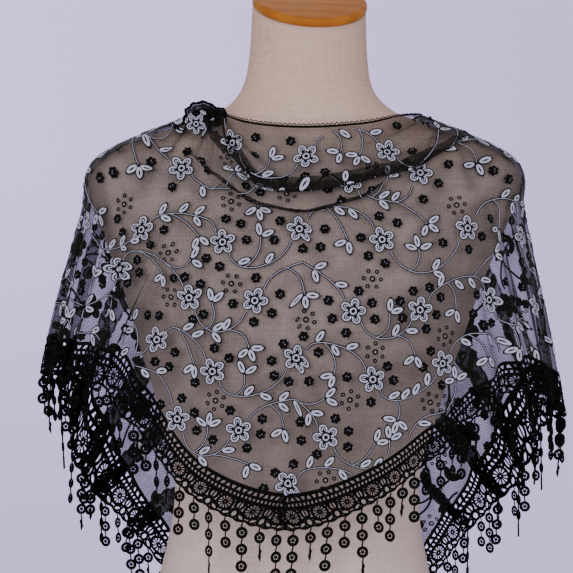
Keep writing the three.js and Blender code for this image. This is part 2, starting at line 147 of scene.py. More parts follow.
def unit(vectors: Array) -> Array:
    """Scale rows of vectors to length 1."""
    return vectors / np.maximum(np.linalg.norm(vectors, axis=-1, keepdims=True), 1e-9)


def heading(angle: float) -> Array:
    """Give the flat direction at an angle in radians."""
    return np.array([math.cos(angle), math.sin(angle)])


def direction(step: Array) -> float:
    """Give the angle of a flat step, in radians."""
    return math.atan2(step[1], step[0])


def travelled(path: Array) -> Array:
    """Give the distance along a path at each of its places."""
    return np.concatenate([[0], np.cumsum(np.linalg.norm(np.diff(path, axis=0), axis=1))])


# The dress form's shape


@dataclass
class FormShape:
    """Sections of the torso, in millimetres."""

    rows: Table = table("z middle half_width front back power", [
        [0, -12, 156, 102, 114, 2.3],
        [60, -12, 165, 108, 123, 2.3],
        [120, -11, 158, 105, 120, 2.3],
        [210, -10, 132, 94, 98, 2.3],
        [300, -8, 117, 90, 80, 2.2],
        [370, -6, 132, 104, 88, 2.2],
        [440, -5, 154, 124, 101, 2.2],
        [500, -3, 173, 122, 109, 2.3],
        [550, -2, 193, 105, 110, 2.4],
        [585, -1, 206, 88, 101, 2.4],
        [610, 0, 203, 75, 88, 2.4],
        [626, 0, 182, 68, 79, 2.3],
        [640, 0, 149, 64, 71, 2.2],
        [651, 1, 115, 60, 64, 2.1],
        [663, 2, 83, 56, 57, 2],
        [682, 2, 64, 53, 52, 2],
        [710, 3, 57, 52, 51, 2],
        [765, 4, 54, 53, 53, 2],
    ])
    bottom: float = 12.35
    top: float = 762.0
    slant_start: float = 690.0
    slant: float = math.tan(math.radians(24))
    side_slant: float = -math.tan(math.radians(4.5))

    def level(self, p: Array) -> Array:
        """Give 1 for points on the form's surface, less inside and more outside."""
        _, middle, half_width, front, back, power = self.rows.smooth(p[:, 2]).T
        depth = np.where(p[:, 1] < 0, front, back)
        square = np.abs((p[:, 0] - middle) / half_width) ** power + np.abs(p[:, 1] / depth) ** power
        return square ** (1 / power)

    def away(self, p: Array) -> tuple[Array, Array]:
        """Give the distance outside the form, to first order, and the direction away from it.

        Args:
            p: Points, one in each row.

        Returns:
            Distances, and unit vectors.
        """
        step = 0.5
        level = self.level(p)
        slope = np.stack([(self.level(p + step * axis) - level) / step for axis in np.eye(3)], axis=1)
        steepness = np.linalg.norm(slope, axis=1)
        return (level - 1) / steepness, slope / steepness[:, None]

    def ring(self, z: float, angles: Array, grow: float = 0.0) -> Array:
        """Place points round the form at one height.

        Args:
            z: Height of the section.
            angles: Angles round the section, in radians.
            grow: How far outside the surface the points lie.

        Returns:
            Points in millimetres, slanted near the neck's top.
        """
        _, middle, half_width, front, back, power = self.rows.smooth(np.array([z]))[0]
        reach = [np.sign(v) * np.abs(v) ** (2 / power) for v in (np.cos(angles), np.sin(angles))]
        x = middle + reach[0] * (half_width + grow)
        y = reach[1] * (np.where(reach[1] < 0, front, back) + grow)
        slanted = smoothstep(np.array([z]), self.slant_start, self.top)[0]
        return np.stack([x, y, z + slanted * (self.slant * y + self.side_slant * x)], axis=1)


# The drape


@dataclass(frozen=True)
class CowlFold:
    """A fold across the chest, where the cloth doubles back under itself."""

    line: tuple[Pair, ...]
    take: float
    width: float
    lift: float
    fades_over: float = 1.0
    rises: Pair = (-3.2, -0.9)

    def middle(self, rib: Array) -> Array:
        """Give the fold's place on each rib, as a share of the rib's length."""
        ribs, downs = np.array(self.line).T
        at = np.clip(rib, ribs[0], ribs[-1])
        i = np.clip(np.searchsorted(ribs, at, side="right") - 1, 0, len(ribs) - 2)
        s = smoothstep((at - ribs[i]) / (ribs[i + 1] - ribs[i]), 0, 1)
        return downs[i] + (downs[i + 1] - downs[i]) * s

    def fade(self, rib: Array) -> Array:
        """Give how strong the fold is on each rib, from 0 past its ends to 1."""
        first, last = self.line[0][0], self.line[-1][0]
        full, falls = first + self.fades_over, last - self.fades_over
        return smoothstep(rib, first, full) * (1 - smoothstep(rib, falls, last))


@dataclass
class Drape:
    """The shawl's surface, in millimetres, as it hangs on the form."""

    form: FormShape
    half_long_edge: float = 750.0
    depth: float = 460.0
    edging_depth: float = 32.0
    tip_share: float = 0.94
    clearance: float = 2.2
    lift_off: float = 8.0
    rest_at: float = 0.45
    rest_softness: float = 0.09
    middle_rib: int = 9
    mitre_overlap: float = 7.0
    point_gap: float = 0.2
    edge_gap: float = 0.8
    pushes: int = 3
    halvings: int = 24
    ribs: Table = table(
        "flat hem_flat edge_x edge_y edge_z rest_x rest_y rest_z hem_x hem_y hem_z", [
            [-750, -880, -78, 135, 100, -78, 135, 100, -80, 135, 100],
            [-640, -800, -92, 124, 215, -104, 128, 194, -118, 131, 170],
            [-480, -705, -104, 114, 362, -132, 120, 312, -172, 124, 243],
            [-330, -590, -90, 112, 510, -152, 111, 440, -218, 96, 301],
            [-200, -480, -94, 66, 634, -196, 56, 580, -233, 54, 384],
            [-120, -388, -104, 0, 658, -204, 0, 612, -247, 0, 418],
            [-90, -290, -84, -38, 655, -168, -72, 560, -210, -52, 414],
            [-60, -190, -60, -61, 648, -114, -116, 505, -164, -94, 378],
            [-30, -95, -30, -70, 645, -62, -128, 480, -104, -119, 307],
            [0, 0, 0, -73, 644, -4, -131, 470, -19, -127, 277],
            [30, 95, 30, -70, 645, 58, -128, 480, 66, -124, 305],
            [60, 190, 62, -62, 648, 112, -116, 505, 128, -108, 353],
            [90, 290, 94, -36, 654, 168, -72, 560, 197, -62, 404],
            [120, 388, 112, 0, 656, 204, 0, 612, 243, -4, 376],
            [200, 480, 98, 66, 634, 194, 56, 580, 232, 52, 362],
            [330, 590, 90, 112, 510, 148, 111, 444, 210, 95, 299],
            [480, 705, 102, 114, 362, 126, 120, 310, 160, 124, 236],
            [640, 800, 88, 124, 212, 98, 128, 190, 110, 131, 164],
            [750, 880, 74, 135, 98, 74, 135, 98, 76, 135, 98],
        ])
    hanging_folds: Table = table("rib lean width start full height", [
        [-7.4, 0.1, 0.16, 0.1, 0.8, 7],
        [-6.9, 0.1, 0.14, 0.2, 0.9, 8],
        [-6.4, 0, 0.14, 0.2, 0.9, 8],
        [-5.75, 0.1, 0.12, 0.3, 0.9, 12],
        [-5.05, 0, 0.12, 0.35, 0.9, 11],
        [-4.5, 0.1, 0.11, 0.4, 0.95, 10],
        [-4.05, 0, 0.11, 0.4, 0.9, 9],
        [-3.6, 0.1, 0.11, 0.35, 0.9, 10],
        [-3.15, 0, 0.1, 0.4, 0.9, 8],
        [-2.7, 0, 0.11, 0.45, 0.95, 8],
        [-2, -0.1, 0.14, 0.55, 1, 6],
        [1.9, 0.1, 0.14, 0.55, 1, 6],
        [2.6, 0, 0.12, 0.45, 0.95, 9],
        [3.05, -0.1, 0.11, 0.3, 0.9, 12],
        [3.5, 0, 0.1, 0.35, 0.9, 9],
        [4, 0, 0.11, 0.4, 0.95, 9],
        [4.5, 0, 0.1, 0.4, 0.9, 9],
        [4.95, -0.1, 0.12, 0.3, 0.9, 10],
        [5.5, 0, 0.12, 0.3, 0.9, 9],
        [6.1, 0, 0.14, 0.2, 0.9, 10],
        [6.8, -0.1, 0.14, 0.2, 0.9, 9],
        [7.4, 0, 0.16, 0.1, 0.8, 7],
    ])
    side_folds: Table = table("rib lean take start full", [
        [-7.1, 0.5, 0.24, 0.2, 0.6],
        [-6.5, 0.6, 0.30, 0.2, 0.6],
        [-6, 0.5, 0.30, 0.2, 0.6],
        [-5.45, 0.6, 0.28, 0.25, 0.6],
        [-4.9, 0.5, 0.24, 0.3, 0.7],
        [-4.35, -0.3, 0.18, 0.35, 0.9],
        [-3.8, 0.4, 0.16, 0.4, 0.95],
        [-3.3, -0.4, 0.2, 0.4, 0.95],
        [-2.85, 0.3, 0.22, 0.45, 0.9],
        [-2.45, -0.3, 0.2, 0.5, 0.9],
        [3.3, 0.3, 0.12, 0.4, 0.95],
        [3.8, -0.3, 0.16, 0.35, 0.9],
        [4.3, 0.3, 0.18, 0.35, 0.9],
        [4.8, -0.5, 0.24, 0.3, 0.7],
        [5.35, -0.6, 0.28, 0.25, 0.6],
        [5.9, -0.5, 0.30, 0.2, 0.6],
        [6.45, -0.6, 0.30, 0.2, 0.6],
        [7, -0.5, 0.24, 0.2, 0.6],
    ])
    side_turn: float = 0.07
    side_reach: float = 0.24
    side_lift: float = 3.5
    side_level: float = 0.75
    hem_spreads: tuple[Triple, ...] = ((-5.6, 0.8, 0.7), (-2.35, 0.7, 0.85), (5.6, 0.8, 0.7))
    cowl_folds: tuple[CowlFold, ...] = (
        CowlFold(line=((-3.3, 0.05), (-1.9, 0.09), (-1, 0.145), (1.7, 0.135), (2.6, 0.16), (4.0, 0.22)),
                 take=0.07, width=0.03, lift=7.0),
        CowlFold(line=((-2.6, 0.07), (-1.9, 0.095), (-1, 0.15), (1.7, 0.14), (2.6, 0.165), (3.6, 0.2)),
                 take=0.056, width=0.026, lift=5.0),
        CowlFold(line=((-3.3, 0.15), (-2, 0.17), (-1, 0.2), (0, 0.205), (1, 0.19), (2.4, 0.15)),
                 take=0.038, width=0.022, lift=5.0),
    )
    pleats: Table = table("rib_start down_start rib_end down_end width height", [
        [-3.1, 0.02, -2.9, 0.40, 3.6, 6.5],
        [-2.9, 0.02, -2.2, 0.34, 3.4, 7.5],
        [-2.8, 0.03, -1.7, 0.36, 3, 6],
        [-2.7, 0.03, -1.3, 0.29, 3.4, 7],
        [-2.6, 0.02, -0.9, 0.24, 3, 6],
        [-2.5, 0.02, -0.6, 0.12, 3.2, 6],
        [-3.4, 0.04, -3.6, 0.40, 3.6, 6],
        [-1.9, 0.22, -0.4, 0.40, 4, 5],
        [-3, 0.30, -0.2, 0.46, 8, 4],
        [3.4, 0.06, 1.2, 0.05, 3.8, 6],
        [3.3, 0.20, 2.6, 0.55, 5, 6],
        [3, 0.12, 1.4, 0.30, 4, 5],
        [2.6, 0.20, 1, 0.42, 4, 4.5],
    ])
    pleat_scale: Pair = (34.0, 320.0)
    pleat_widths: Pair = (0.6, 0.8)
    base_steps: tuple[tuple[float, float, int], ...] = ((-9.0, 9.0, 433), (-0.06, 1.12, 237))
    fine_steps: tuple[tuple[float, float, int], ...] = ((-8.9, 8.9, 1425), (-0.04, 1.1, 571))
    rib_step: float = 0.005

    def __post_init__(self) -> None:
        """Work out the grids that every piece of the shawl is read from."""
        self.hem_length = math.hypot(self.half_long_edge, self.depth)
        self.base_ribs, self.base_downs = (np.linspace(*steps) for steps in self.base_steps)
        rib, down = np.meshgrid(self.base_ribs, self.base_downs, indexing="ij")
        point, out = self.hang(rib.ravel(), down.ravel())
        self.base_grid = np.concatenate([point, out], axis=1).reshape(*rib.shape, 6)
        self.fine_ribs, self.fine_downs = (np.linspace(*steps) for steps in self.fine_steps)
        rib, down = np.meshgrid(self.fine_ribs, self.fine_downs, indexing="ij")
        point = self.folded(rib.ravel(), down.ravel()).reshape(*rib.shape, 3)
        along = np.gradient(point, axis=0)
        fall = np.gradient(point, axis=1)
        normal = unit(np.cross(fall, along))
        self.fine_grid = np.concatenate([point, normal], axis=2)

    def even_ribs(self, last: float) -> Array:
        """Give closely and evenly spaced ribs, from minus the last to the last."""
        return np.linspace(-last, last, round(2 * last / self.rib_step) + 1)

    def rib_row(self, rib: Array) -> dict[str, Array]:
        """Give the columns of the rib table at fractional ribs."""
        values = self.ribs.spline(rib + self.middle_rib)
        return dict(zip(self.ribs.names, values.T))

    def hang(self, rib: Array, down: Array) -> tuple[Array, Array]:
        """Place the cloth without its folds.

        Args:
            rib: Rib numbers.
            down: Shares of the rib's length.

        Returns:
            Points, and directions away from the form.
        """
        row = self.rib_row(rib)
        edge, rest, hem = (np.stack([row[f"{part}_{axis}"] for axis in "xyz"], axis=1)
                           for part in ("edge", "rest", "hem"))
        past = soft_ramp(down - self.rest_at, self.rest_softness)
        on_form = ((down - past) / self.rest_at)[:, None]
        hanging = past / (1 - self.rest_at)
        above = np.minimum(hanging, 1)
        gain = sum(top * np.exp(-(((rib - at) / width) ** 2)) for at, width, top in self.hem_spreads)
        hanging = (hanging - gain * above * (1 - above))[:, None]
        point = edge + (rest - edge) * on_form + (hem - rest) * hanging
        distance, out = self.form.away(point)
        wanted = self.clearance + soft_ramp(distance - self.clearance, self.lift_off)
        for _ in range(self.pushes):
            point = point + out * (wanted - distance)[:, None]
            distance, out = self.form.away(point)
        return point, out

    def folded(self, rib: Array, down: Array) -> Array:
        """Place the cloth with its folds.

        Args:
            rib: Rib numbers.
            down: Shares of the rib's length, measured along the cloth.

        Returns:
            Points in millimetres.
        """
        taken = sum(fold.take * fold.fade(rib) for fold in self.cowl_folds)
        along = down * (1 + taken)
        height = np.zeros_like(down)
        before = np.zeros_like(down)
        for fold in self.cowl_folds:
            fade = fold.fade(rib)
            middle = (fold.middle(rib) + before + 0.5 * fold.take * fade) / (1 + taken)
            before = before + fold.take * fade
            x = (down - middle) / fold.width
            turned = smoothstep(x, -0.5, 0.5)
            along = along - fold.take * fade * turned
            height += fold.lift * fade * smoothstep(x, *fold.rises) * (1 - turned)
        for ridge_rib, lean, width, start, full, top in self.hanging_folds.values:
            across = (rib - ridge_rib - lean * (down - start)) / width
            height += top * smoothstep(down, start, full) * np.exp(-across * across)
        height += self.pleat_height(rib, down)
        place = rib.copy()
        for at, lean, take, start, full in self.side_folds.values:
            shown = smoothstep(down, start, full)
            off = rib - at - lean * (down - self.side_level)
            turned = smoothstep(off / self.side_turn, -0.5, 0.5)
            place += take * shown * (np.clip(off + 0.5, 0, 1) - turned)
            height += self.side_lift * shown * (1 - 2 * turned) * np.exp(-((off / self.side_reach) ** 2))
        base = read_grid(self.base_grid, self.base_ribs, self.base_downs, place, along)
        return base[:, :3] + unit(base[:, 3:]) * height[:, None]

    def pleat_height(self, rib: Array, down: Array) -> Array:
        """Give how far the pleats near the shoulders raise the cloth."""
        scale = np.array(self.pleat_scale)
        places = np.stack([rib, down], axis=1) * scale
        narrow, spread = self.pleat_widths
        height = np.zeros_like(down)
        for rib_start, down_start, rib_end, down_end, width, top in self.pleats.values:
            start, end = np.array([rib_start, down_start]) * scale, np.array([rib_end, down_end]) * scale
            share = np.clip((places - start) @ (end - start) / ((end - start) @ (end - start)), 0, 1)
            off = np.linalg.norm(places - start - share[:, None] * (end - start), axis=1)
            height += top * np.sqrt(1 - share) * np.exp(-((off / (width * (narrow + spread * share))) ** 2))
        return height

    def sample(self, rib: Array, down: Array, lift: Array | float = 0.0) -> Array:
        """Place points on the cloth.

        Args:
            rib: Rib numbers.
            down: Shares of the rib's length.
            lift: Height above the cloth's middle, in millimetres.

        Returns:
            Points in metres.
        """
        found = read_grid(self.fine_grid, self.fine_ribs, self.fine_downs, rib, down)
        lifted = np.broadcast_to(np.asarray(lift, float), rib.shape)
        return (found[:, :3] + unit(found[:, 3:]) * lifted[:, None]) * MM

    def hem_point(self, rib: Array) -> tuple[Array, Array]:
        """Give where each rib meets the hem on the flat cloth, in millimetres."""
        hem_flat = self.rib_row(rib)["hem_flat"]
        x = hem_flat * self.half_long_edge / self.hem_length
        return x, self.depth - np.abs(hem_flat) * self.depth / self.hem_length

    def flat(self, rib: Array, down: Array) -> Array:
        """Give places on the flat cloth, across and down from the middle of the long edge."""
        edge_x = self.rib_row(rib)["flat"]
        hem_x, hem_y = self.hem_point(rib)
        return np.stack([edge_x + (hem_x - edge_x) * down, hem_y * down], axis=1)

    def from_flat(self, places: Array) -> tuple[Array, Array]:
        """Find the rib and the share of its length for places on the flat cloth.

        Args:
            places: Places in millimetres, across and down.

        Returns:
            Rib numbers and shares.
        """
        ribs = self.even_ribs(self.middle_rib - 0.05)
        columns = np.stack([self.rib_row(ribs)["flat"], *self.hem_point(ribs)])
        low = np.full(len(places), ribs[0])
        high = -low
        for _ in range(self.halvings):
            rib = 0.5 * (low + high)
            edge_x, hem_x, hem_y = (np.interp(rib, ribs, column) for column in columns)
            left = (hem_x - edge_x) * places[:, 1] < hem_y * (places[:, 0] - edge_x)
            low, high = np.where(left, rib, low), np.where(left, high, rib)
        return rib, places[:, 1] / np.maximum(np.interp(rib, ribs, columns[2]), 1.0)

    def lay(self, places: Array, lift: Array | float = 0.0) -> Array:
        """Place points of the flat cloth on the hanging cloth.

        Args:
            places: Places in millimetres, across and down.
            lift: Height above the cloth's middle, in millimetres.

        Returns:
            Points in metres.
        """
        return self.sample(*self.from_flat(places), lift)

    def above_hem(self, places: Array) -> Array:
        """Give how far places on the flat cloth are from the hem, in millimetres."""
        x, y = np.abs(places[:, 0]), places[:, 1]
        return ((self.half_long_edge - x) * self.depth - y * self.half_long_edge) / self.hem_length

    def braid_place(self, along: Array, depth: Array) -> Array:
        """Give flat places on the edging.

        Args:
            along: Distance along the hem from its point, negative on the left side.
            depth: Depth below the edging's seam.

        Returns:
            Places in millimetres, kept below the long edge and on their own side of the point, which only the
            right side overlaps.
        """
        side = np.where(along < 0, -1.0, 1.0)
        past = depth - self.edging_depth
        cos, sin = self.half_long_edge / self.hem_length, self.depth / self.hem_length
        x = along * cos + side * past * sin
        y = self.depth - np.abs(along) * sin + past * cos
        least = np.where(side < 0, self.point_gap, -self.mitre_overlap)
        return np.stack([side * np.maximum(side * x, least), np.maximum(y, self.edge_gap)], axis=1)

    def depth_at(self, rib: Array) -> Array:
        """Give the flat distance from the long edge to the hem at each rib."""
        return self.depth * (self.half_long_edge - np.abs(self.rib_row(rib)["flat"])) / self.hem_length

    def on_edging(self, rib: Array, depth: Array | float) -> Array:
        """Turn a depth below the edging's seam, in millimetres, into a share of the rib."""
        whole = self.depth_at(rib)
        narrowing = np.minimum(1, self.tip_share * whole / self.edging_depth)
        depth = np.asarray(depth, float)
        return 1 + (depth - self.edging_depth) * np.where(depth < self.edging_depth, narrowing, 1) / whole

    def rib_at_hem(self, hem_flat: Array) -> Array:
        """Find the ribs that meet the hem at the given distances from its point."""
        ribs = self.even_ribs(self.middle_rib)
        return np.interp(hem_flat, self.rib_row(ribs)["hem_flat"], ribs)


def read_grid(grid: Array, first: Array, second: Array, u: Array, v: Array) -> Array:
    """Read a grid of rows of numbers between its nodes.

    Args:
        grid: Values on an even grid.
        first: Even values of the first coordinate.
        second: Even values of the second coordinate.
        u: First coordinates to read at.
        v: Second coordinates to read at.

    Returns:
        One row of values for each pair.
    """
    a = np.clip((u - first[0]) / (first[1] - first[0]), 0, len(first) - 1.001)
    b = np.clip((v - second[0]) / (second[1] - second[0]), 0, len(second) - 1.001)
    i, j = a.astype(int), b.astype(int)
    s, t = (a - i)[:, None], (b - j)[:, None]
    upper = grid[i, j] * (1 - t) + grid[i, j + 1] * t
    lower = grid[i + 1, j] * (1 - t) + grid[i + 1, j + 1] * t
    return upper * (1 - s) + lower * s


# Meshes


class Pattern:
    """A small shape that is repeated on the cloth, in millimetres: across, down, and height above the cloth."""

    def __init__(self) -> None:
        """Start an empty pattern."""
        self.mesh = bmesh.new()
        self.stitch = self.mesh.verts.layers.float_vector.new("stitch")

    def sweep(self, path: Array, width: Array | float, height: float, lift: float = 0.0, sides: int = 2) -> None:
        """Add a ribbon or cord along a path.

        Args:
            path: Places across and down. A closed path ends where it starts.
            width: Its width, or one width for each place.
            height: How far a ribbon's middle is raised, or a cord's thickness.
            lift: Height of a ribbon's edges, or of a cord's middle.
            sides: 2 for a crowned ribbon, and 3 or more for a closed cord.
        """
        path = np.asarray(path, float)
        steps = len(path) - 1
        tangent = np.gradient(path, axis=0)
        if np.allclose(path[0], path[-1]):
            tangent[0] = tangent[-1] = path[1] - path[-2]
        side = unit(np.stack([-tangent[:, 1], tangent[:, 0]], axis=1))
        lengths = travelled(path)
        widths = np.broadcast_to(np.asarray(width, float), (steps + 1,))
        made = bmesh.ops.create_grid(self.mesh, x_segments=steps, y_segments=sides, size=0.5)["verts"]
        for vert in made:
            i, j = round((vert.co.x + 0.5) * steps), round((vert.co.y + 0.5) * sides)
            if sides == 2:
                across, up = 0.5 * (j - 1), height * (1 - abs(j - 1))
            else:
                turn = 2 * math.pi * (j / sides + 0.25)
                across, up = 0.5 * math.cos(turn), 0.5 * height * math.sin(turn)
            place = path[i] + side[i] * across * widths[i]
            vert.co = (place[0], place[1], lift + up)
            vert[self.stitch] = (lengths[i], j / sides, 0.0)
        if sides > 2:
            bmesh.ops.reverse_faces(self.mesh, faces=list({face for vert in made for face in vert.link_faces}))

    def disc(self, centre: Array | Pair, radii: Pair, turn: float, sides: int, crown: float, lift: float,
             lobes: int = 0, lobe_depth: float = 0.0) -> None:
        """Add a flat or domed disc.

        Args:
            centre: Its middle.
            radii: Half its length and half its width.
            turn: Direction of its length, in radians.
            sides: Number of its edges.
            crown: How far its middle is raised.
            lift: Height of its rim.
            lobes: Number of lobes round the rim.
            lobe_depth: Share of the radius that the lobes add and take.
        """
        made = bmesh.ops.create_circle(self.mesh, cap_ends=True, cap_tris=True, segments=sides, radius=1.0)
        for vert in made["verts"]:
            reach = vert.co.length
            grow = 1 + lobe_depth * math.cos(lobes * direction(vert.co))
            x, y = vert.co.x * radii[0] * grow, vert.co.y * radii[1] * grow
            vert[self.stitch] = (x, 0.5 + 0.5 * y / radii[1], 0.0)
            vert.co = (centre[0] + x * math.cos(turn) - y * math.sin(turn),
                       centre[1] + x * math.sin(turn) + y * math.cos(turn),
                       lift + crown * (1 - reach))

    def finish(self) -> "Pattern":
        """Merge seams and read the shape out, turned to face outwards once it lies on the cloth."""
        bmesh.ops.remove_doubles(self.mesh, verts=self.mesh.verts, dist=1e-4)
        bmesh.ops.reverse_faces(self.mesh, faces=self.mesh.faces)
        self.mesh.verts.index_update()
        self.points = np.array([vert.co[:] for vert in self.mesh.verts])
        self.stitches = np.array([vert[self.stitch][:2] for vert in self.mesh.verts])
        self.corners = np.array([vert.index for face in self.mesh.faces for vert in face.verts])
        self.sizes = np.array([len(face.verts) for face in self.mesh.faces])
        self.mesh.free()
        return self

    def copies_along(self, starts: Array) -> tuple[Array, Array, Array]:
        """Repeat the finished shape across the cloth.

        Args:
            starts: Where each copy starts.

        Returns:
            Places across and down, and heights, each as copies by points.
        """
        across = starts[:, None] + self.points[None, :, 0]
        down, height = (np.broadcast_to(self.points[:, axis], across.shape) for axis in (1, 2))
        return across, down, height


def arc(centre: Array | Pair, radii: Pair, steps: int, start: float = 0.0,
        end: float = 360.0, turn: float = 0.0) -> Array:
    """Give places round an ellipse or along an arc of it, with angles in degrees.

    Args:
        centre: The ellipse's middle.
        radii: Half its length and half its width.
        steps: Number of steps.
        start: First angle.
        end: Last angle.
        turn: Direction of the ellipse's length.

    Returns:
        One place in each row.
    """
    angle, tilt = np.radians(np.linspace(start, end, steps + 1)), math.radians(turn)
    x, y = radii[0] * np.cos(angle), radii[1] * np.sin(angle)
    return np.stack([centre[0] + x * math.cos(tilt) - y * math.sin(tilt),
                     centre[1] + x * math.sin(tilt) + y * math.cos(tilt)], axis=1)


def turned(points: Array, angles: Array) -> Array:
    """Turn flat points by each of the angles, in radians, and give them as copies by points by 2."""
    cos, sin = np.cos(angles)[:, None], np.sin(angles)[:, None]
    x, y = points[None, :, 0], points[None, :, 1]
    return np.stack([x * cos - y * sin, x * sin + y * cos], axis=2)


def new_object(name: str, data: bpy.types.ID) -> Piece:
    """Put a mesh, lamp or camera into the scene."""
    made = bpy.data.objects.new(name, data)
    bpy.context.scene.collection.objects.link(made)
    return made


def piece_of(data: bpy.types.Mesh, material: Material) -> Piece:
    """Make a smooth-shaded piece of the scene from a mesh of the same name."""
    data.shade_smooth()
    data.materials.append(material)
    return new_object(data.name, data)


def piece_from(mesh: bmesh.types.BMesh, name: str, material: Material) -> Piece:
    """Turn a bmesh into a piece of the scene, and free it."""
    data = bpy.data.meshes.new(name)
    mesh.to_mesh(data)
    mesh.free()
    return piece_of(data, material)


def grid_piece(name: str, material: Material, across: int, down: int) -> Piece:
    """Make a flat grid piece with this many cells, whose points lie from 0 to 1 in x and y."""
    mesh = bmesh.new()
    bmesh.ops.create_grid(mesh, x_segments=across, y_segments=down, size=0.5)
    bmesh.ops.translate(mesh, verts=mesh.verts, vec=(0.5, 0.5, 0.0))
    return piece_from(mesh, name, material)


def points_of(piece: Piece) -> Array:
    """Read a piece's points as rows."""
    points = np.empty(len(piece.data.vertices) * 3)
    piece.data.vertices.foreach_get("co", points)
    return points.reshape(-1, 3)


def move_points(piece: Piece, points: Array) -> None:
    """Put a piece's points in new places."""
    piece.data.vertices.foreach_set("co", points.ravel())
    piece.data.update()


def add_uv(piece: Piece, kind: "Coordinates", places: Array) -> None:
    """Give a piece a UV map of this kind, from one place for each of its points."""
    corners = np.empty(len(piece.data.loops), np.int32)
    piece.data.loops.foreach_get("vertex_index", corners)
    layer = piece.data.uv_layers.new(name=kind.value)
    layer.data.foreach_set("uv", places[corners].ravel())


def joined_piece(name: str, material: Material, copies: list[tuple[Pattern, Array]]) -> Piece:
    """Join many placed copies of patterns into one piece.

    Args:
        name: The piece's name.
        material: Its finish.
        copies: Each pattern with its copies' points, as copies by points by 3, in metres.

    Returns:
        The new object, with a UV map of stitches: millimetres along and a share across.
    """
    points, corners, sizes, stitches = [], [], [], []
    count = 0
    for pattern, placed in copies:
        if len(placed) == 0:
            continue
        each = len(pattern.points)
        starts = count + each * np.arange(len(placed))
        points.append(placed.reshape(-1, 3))
        corners.append((starts[:, None] + pattern.corners[None, :]).ravel())
        sizes.append(np.tile(pattern.sizes, len(placed)))
        stitches.append(np.tile(pattern.stitches, (len(placed), 1)))
        count += each * len(placed)
    all_corners, all_sizes = np.concatenate(corners), np.concatenate(sizes)
    data = bpy.data.meshes.new(name)
    data.vertices.add(count)
    data.vertices.foreach_set("co", np.concatenate(points).ravel())
    data.loops.add(len(all_corners))
    data.loops.foreach_set("vertex_index", all_corners.astype(np.int32))
    data.polygons.add(len(all_sizes))
    data.polygons.foreach_set("loop_start", (np.cumsum(all_sizes) - all_sizes).astype(np.int32))
    data.update(calc_edges=True)
    piece = piece_of(data, material)
    add_uv(piece, Coordinates.STITCH, np.concatenate(stitches))
    return piece


def settle(piece: Piece, slot: str, *nodes: str) -> Piece:
    """Make a piece ride on the form and let it stand for CAD nodes.

    Args:
        piece: The piece.
        slot: Not used.
        nodes: Names of the CAD nodes that it stands for.

    Returns:
        The same piece.
    """
    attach(piece, "root")
    if nodes:
        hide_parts(*nodes)
    triangles = sum(len(face.vertices) - 2 for face in piece.data.polygons)
    LOG.info("%s: %d triangles", piece.name, triangles)
    return piece


# Finishes


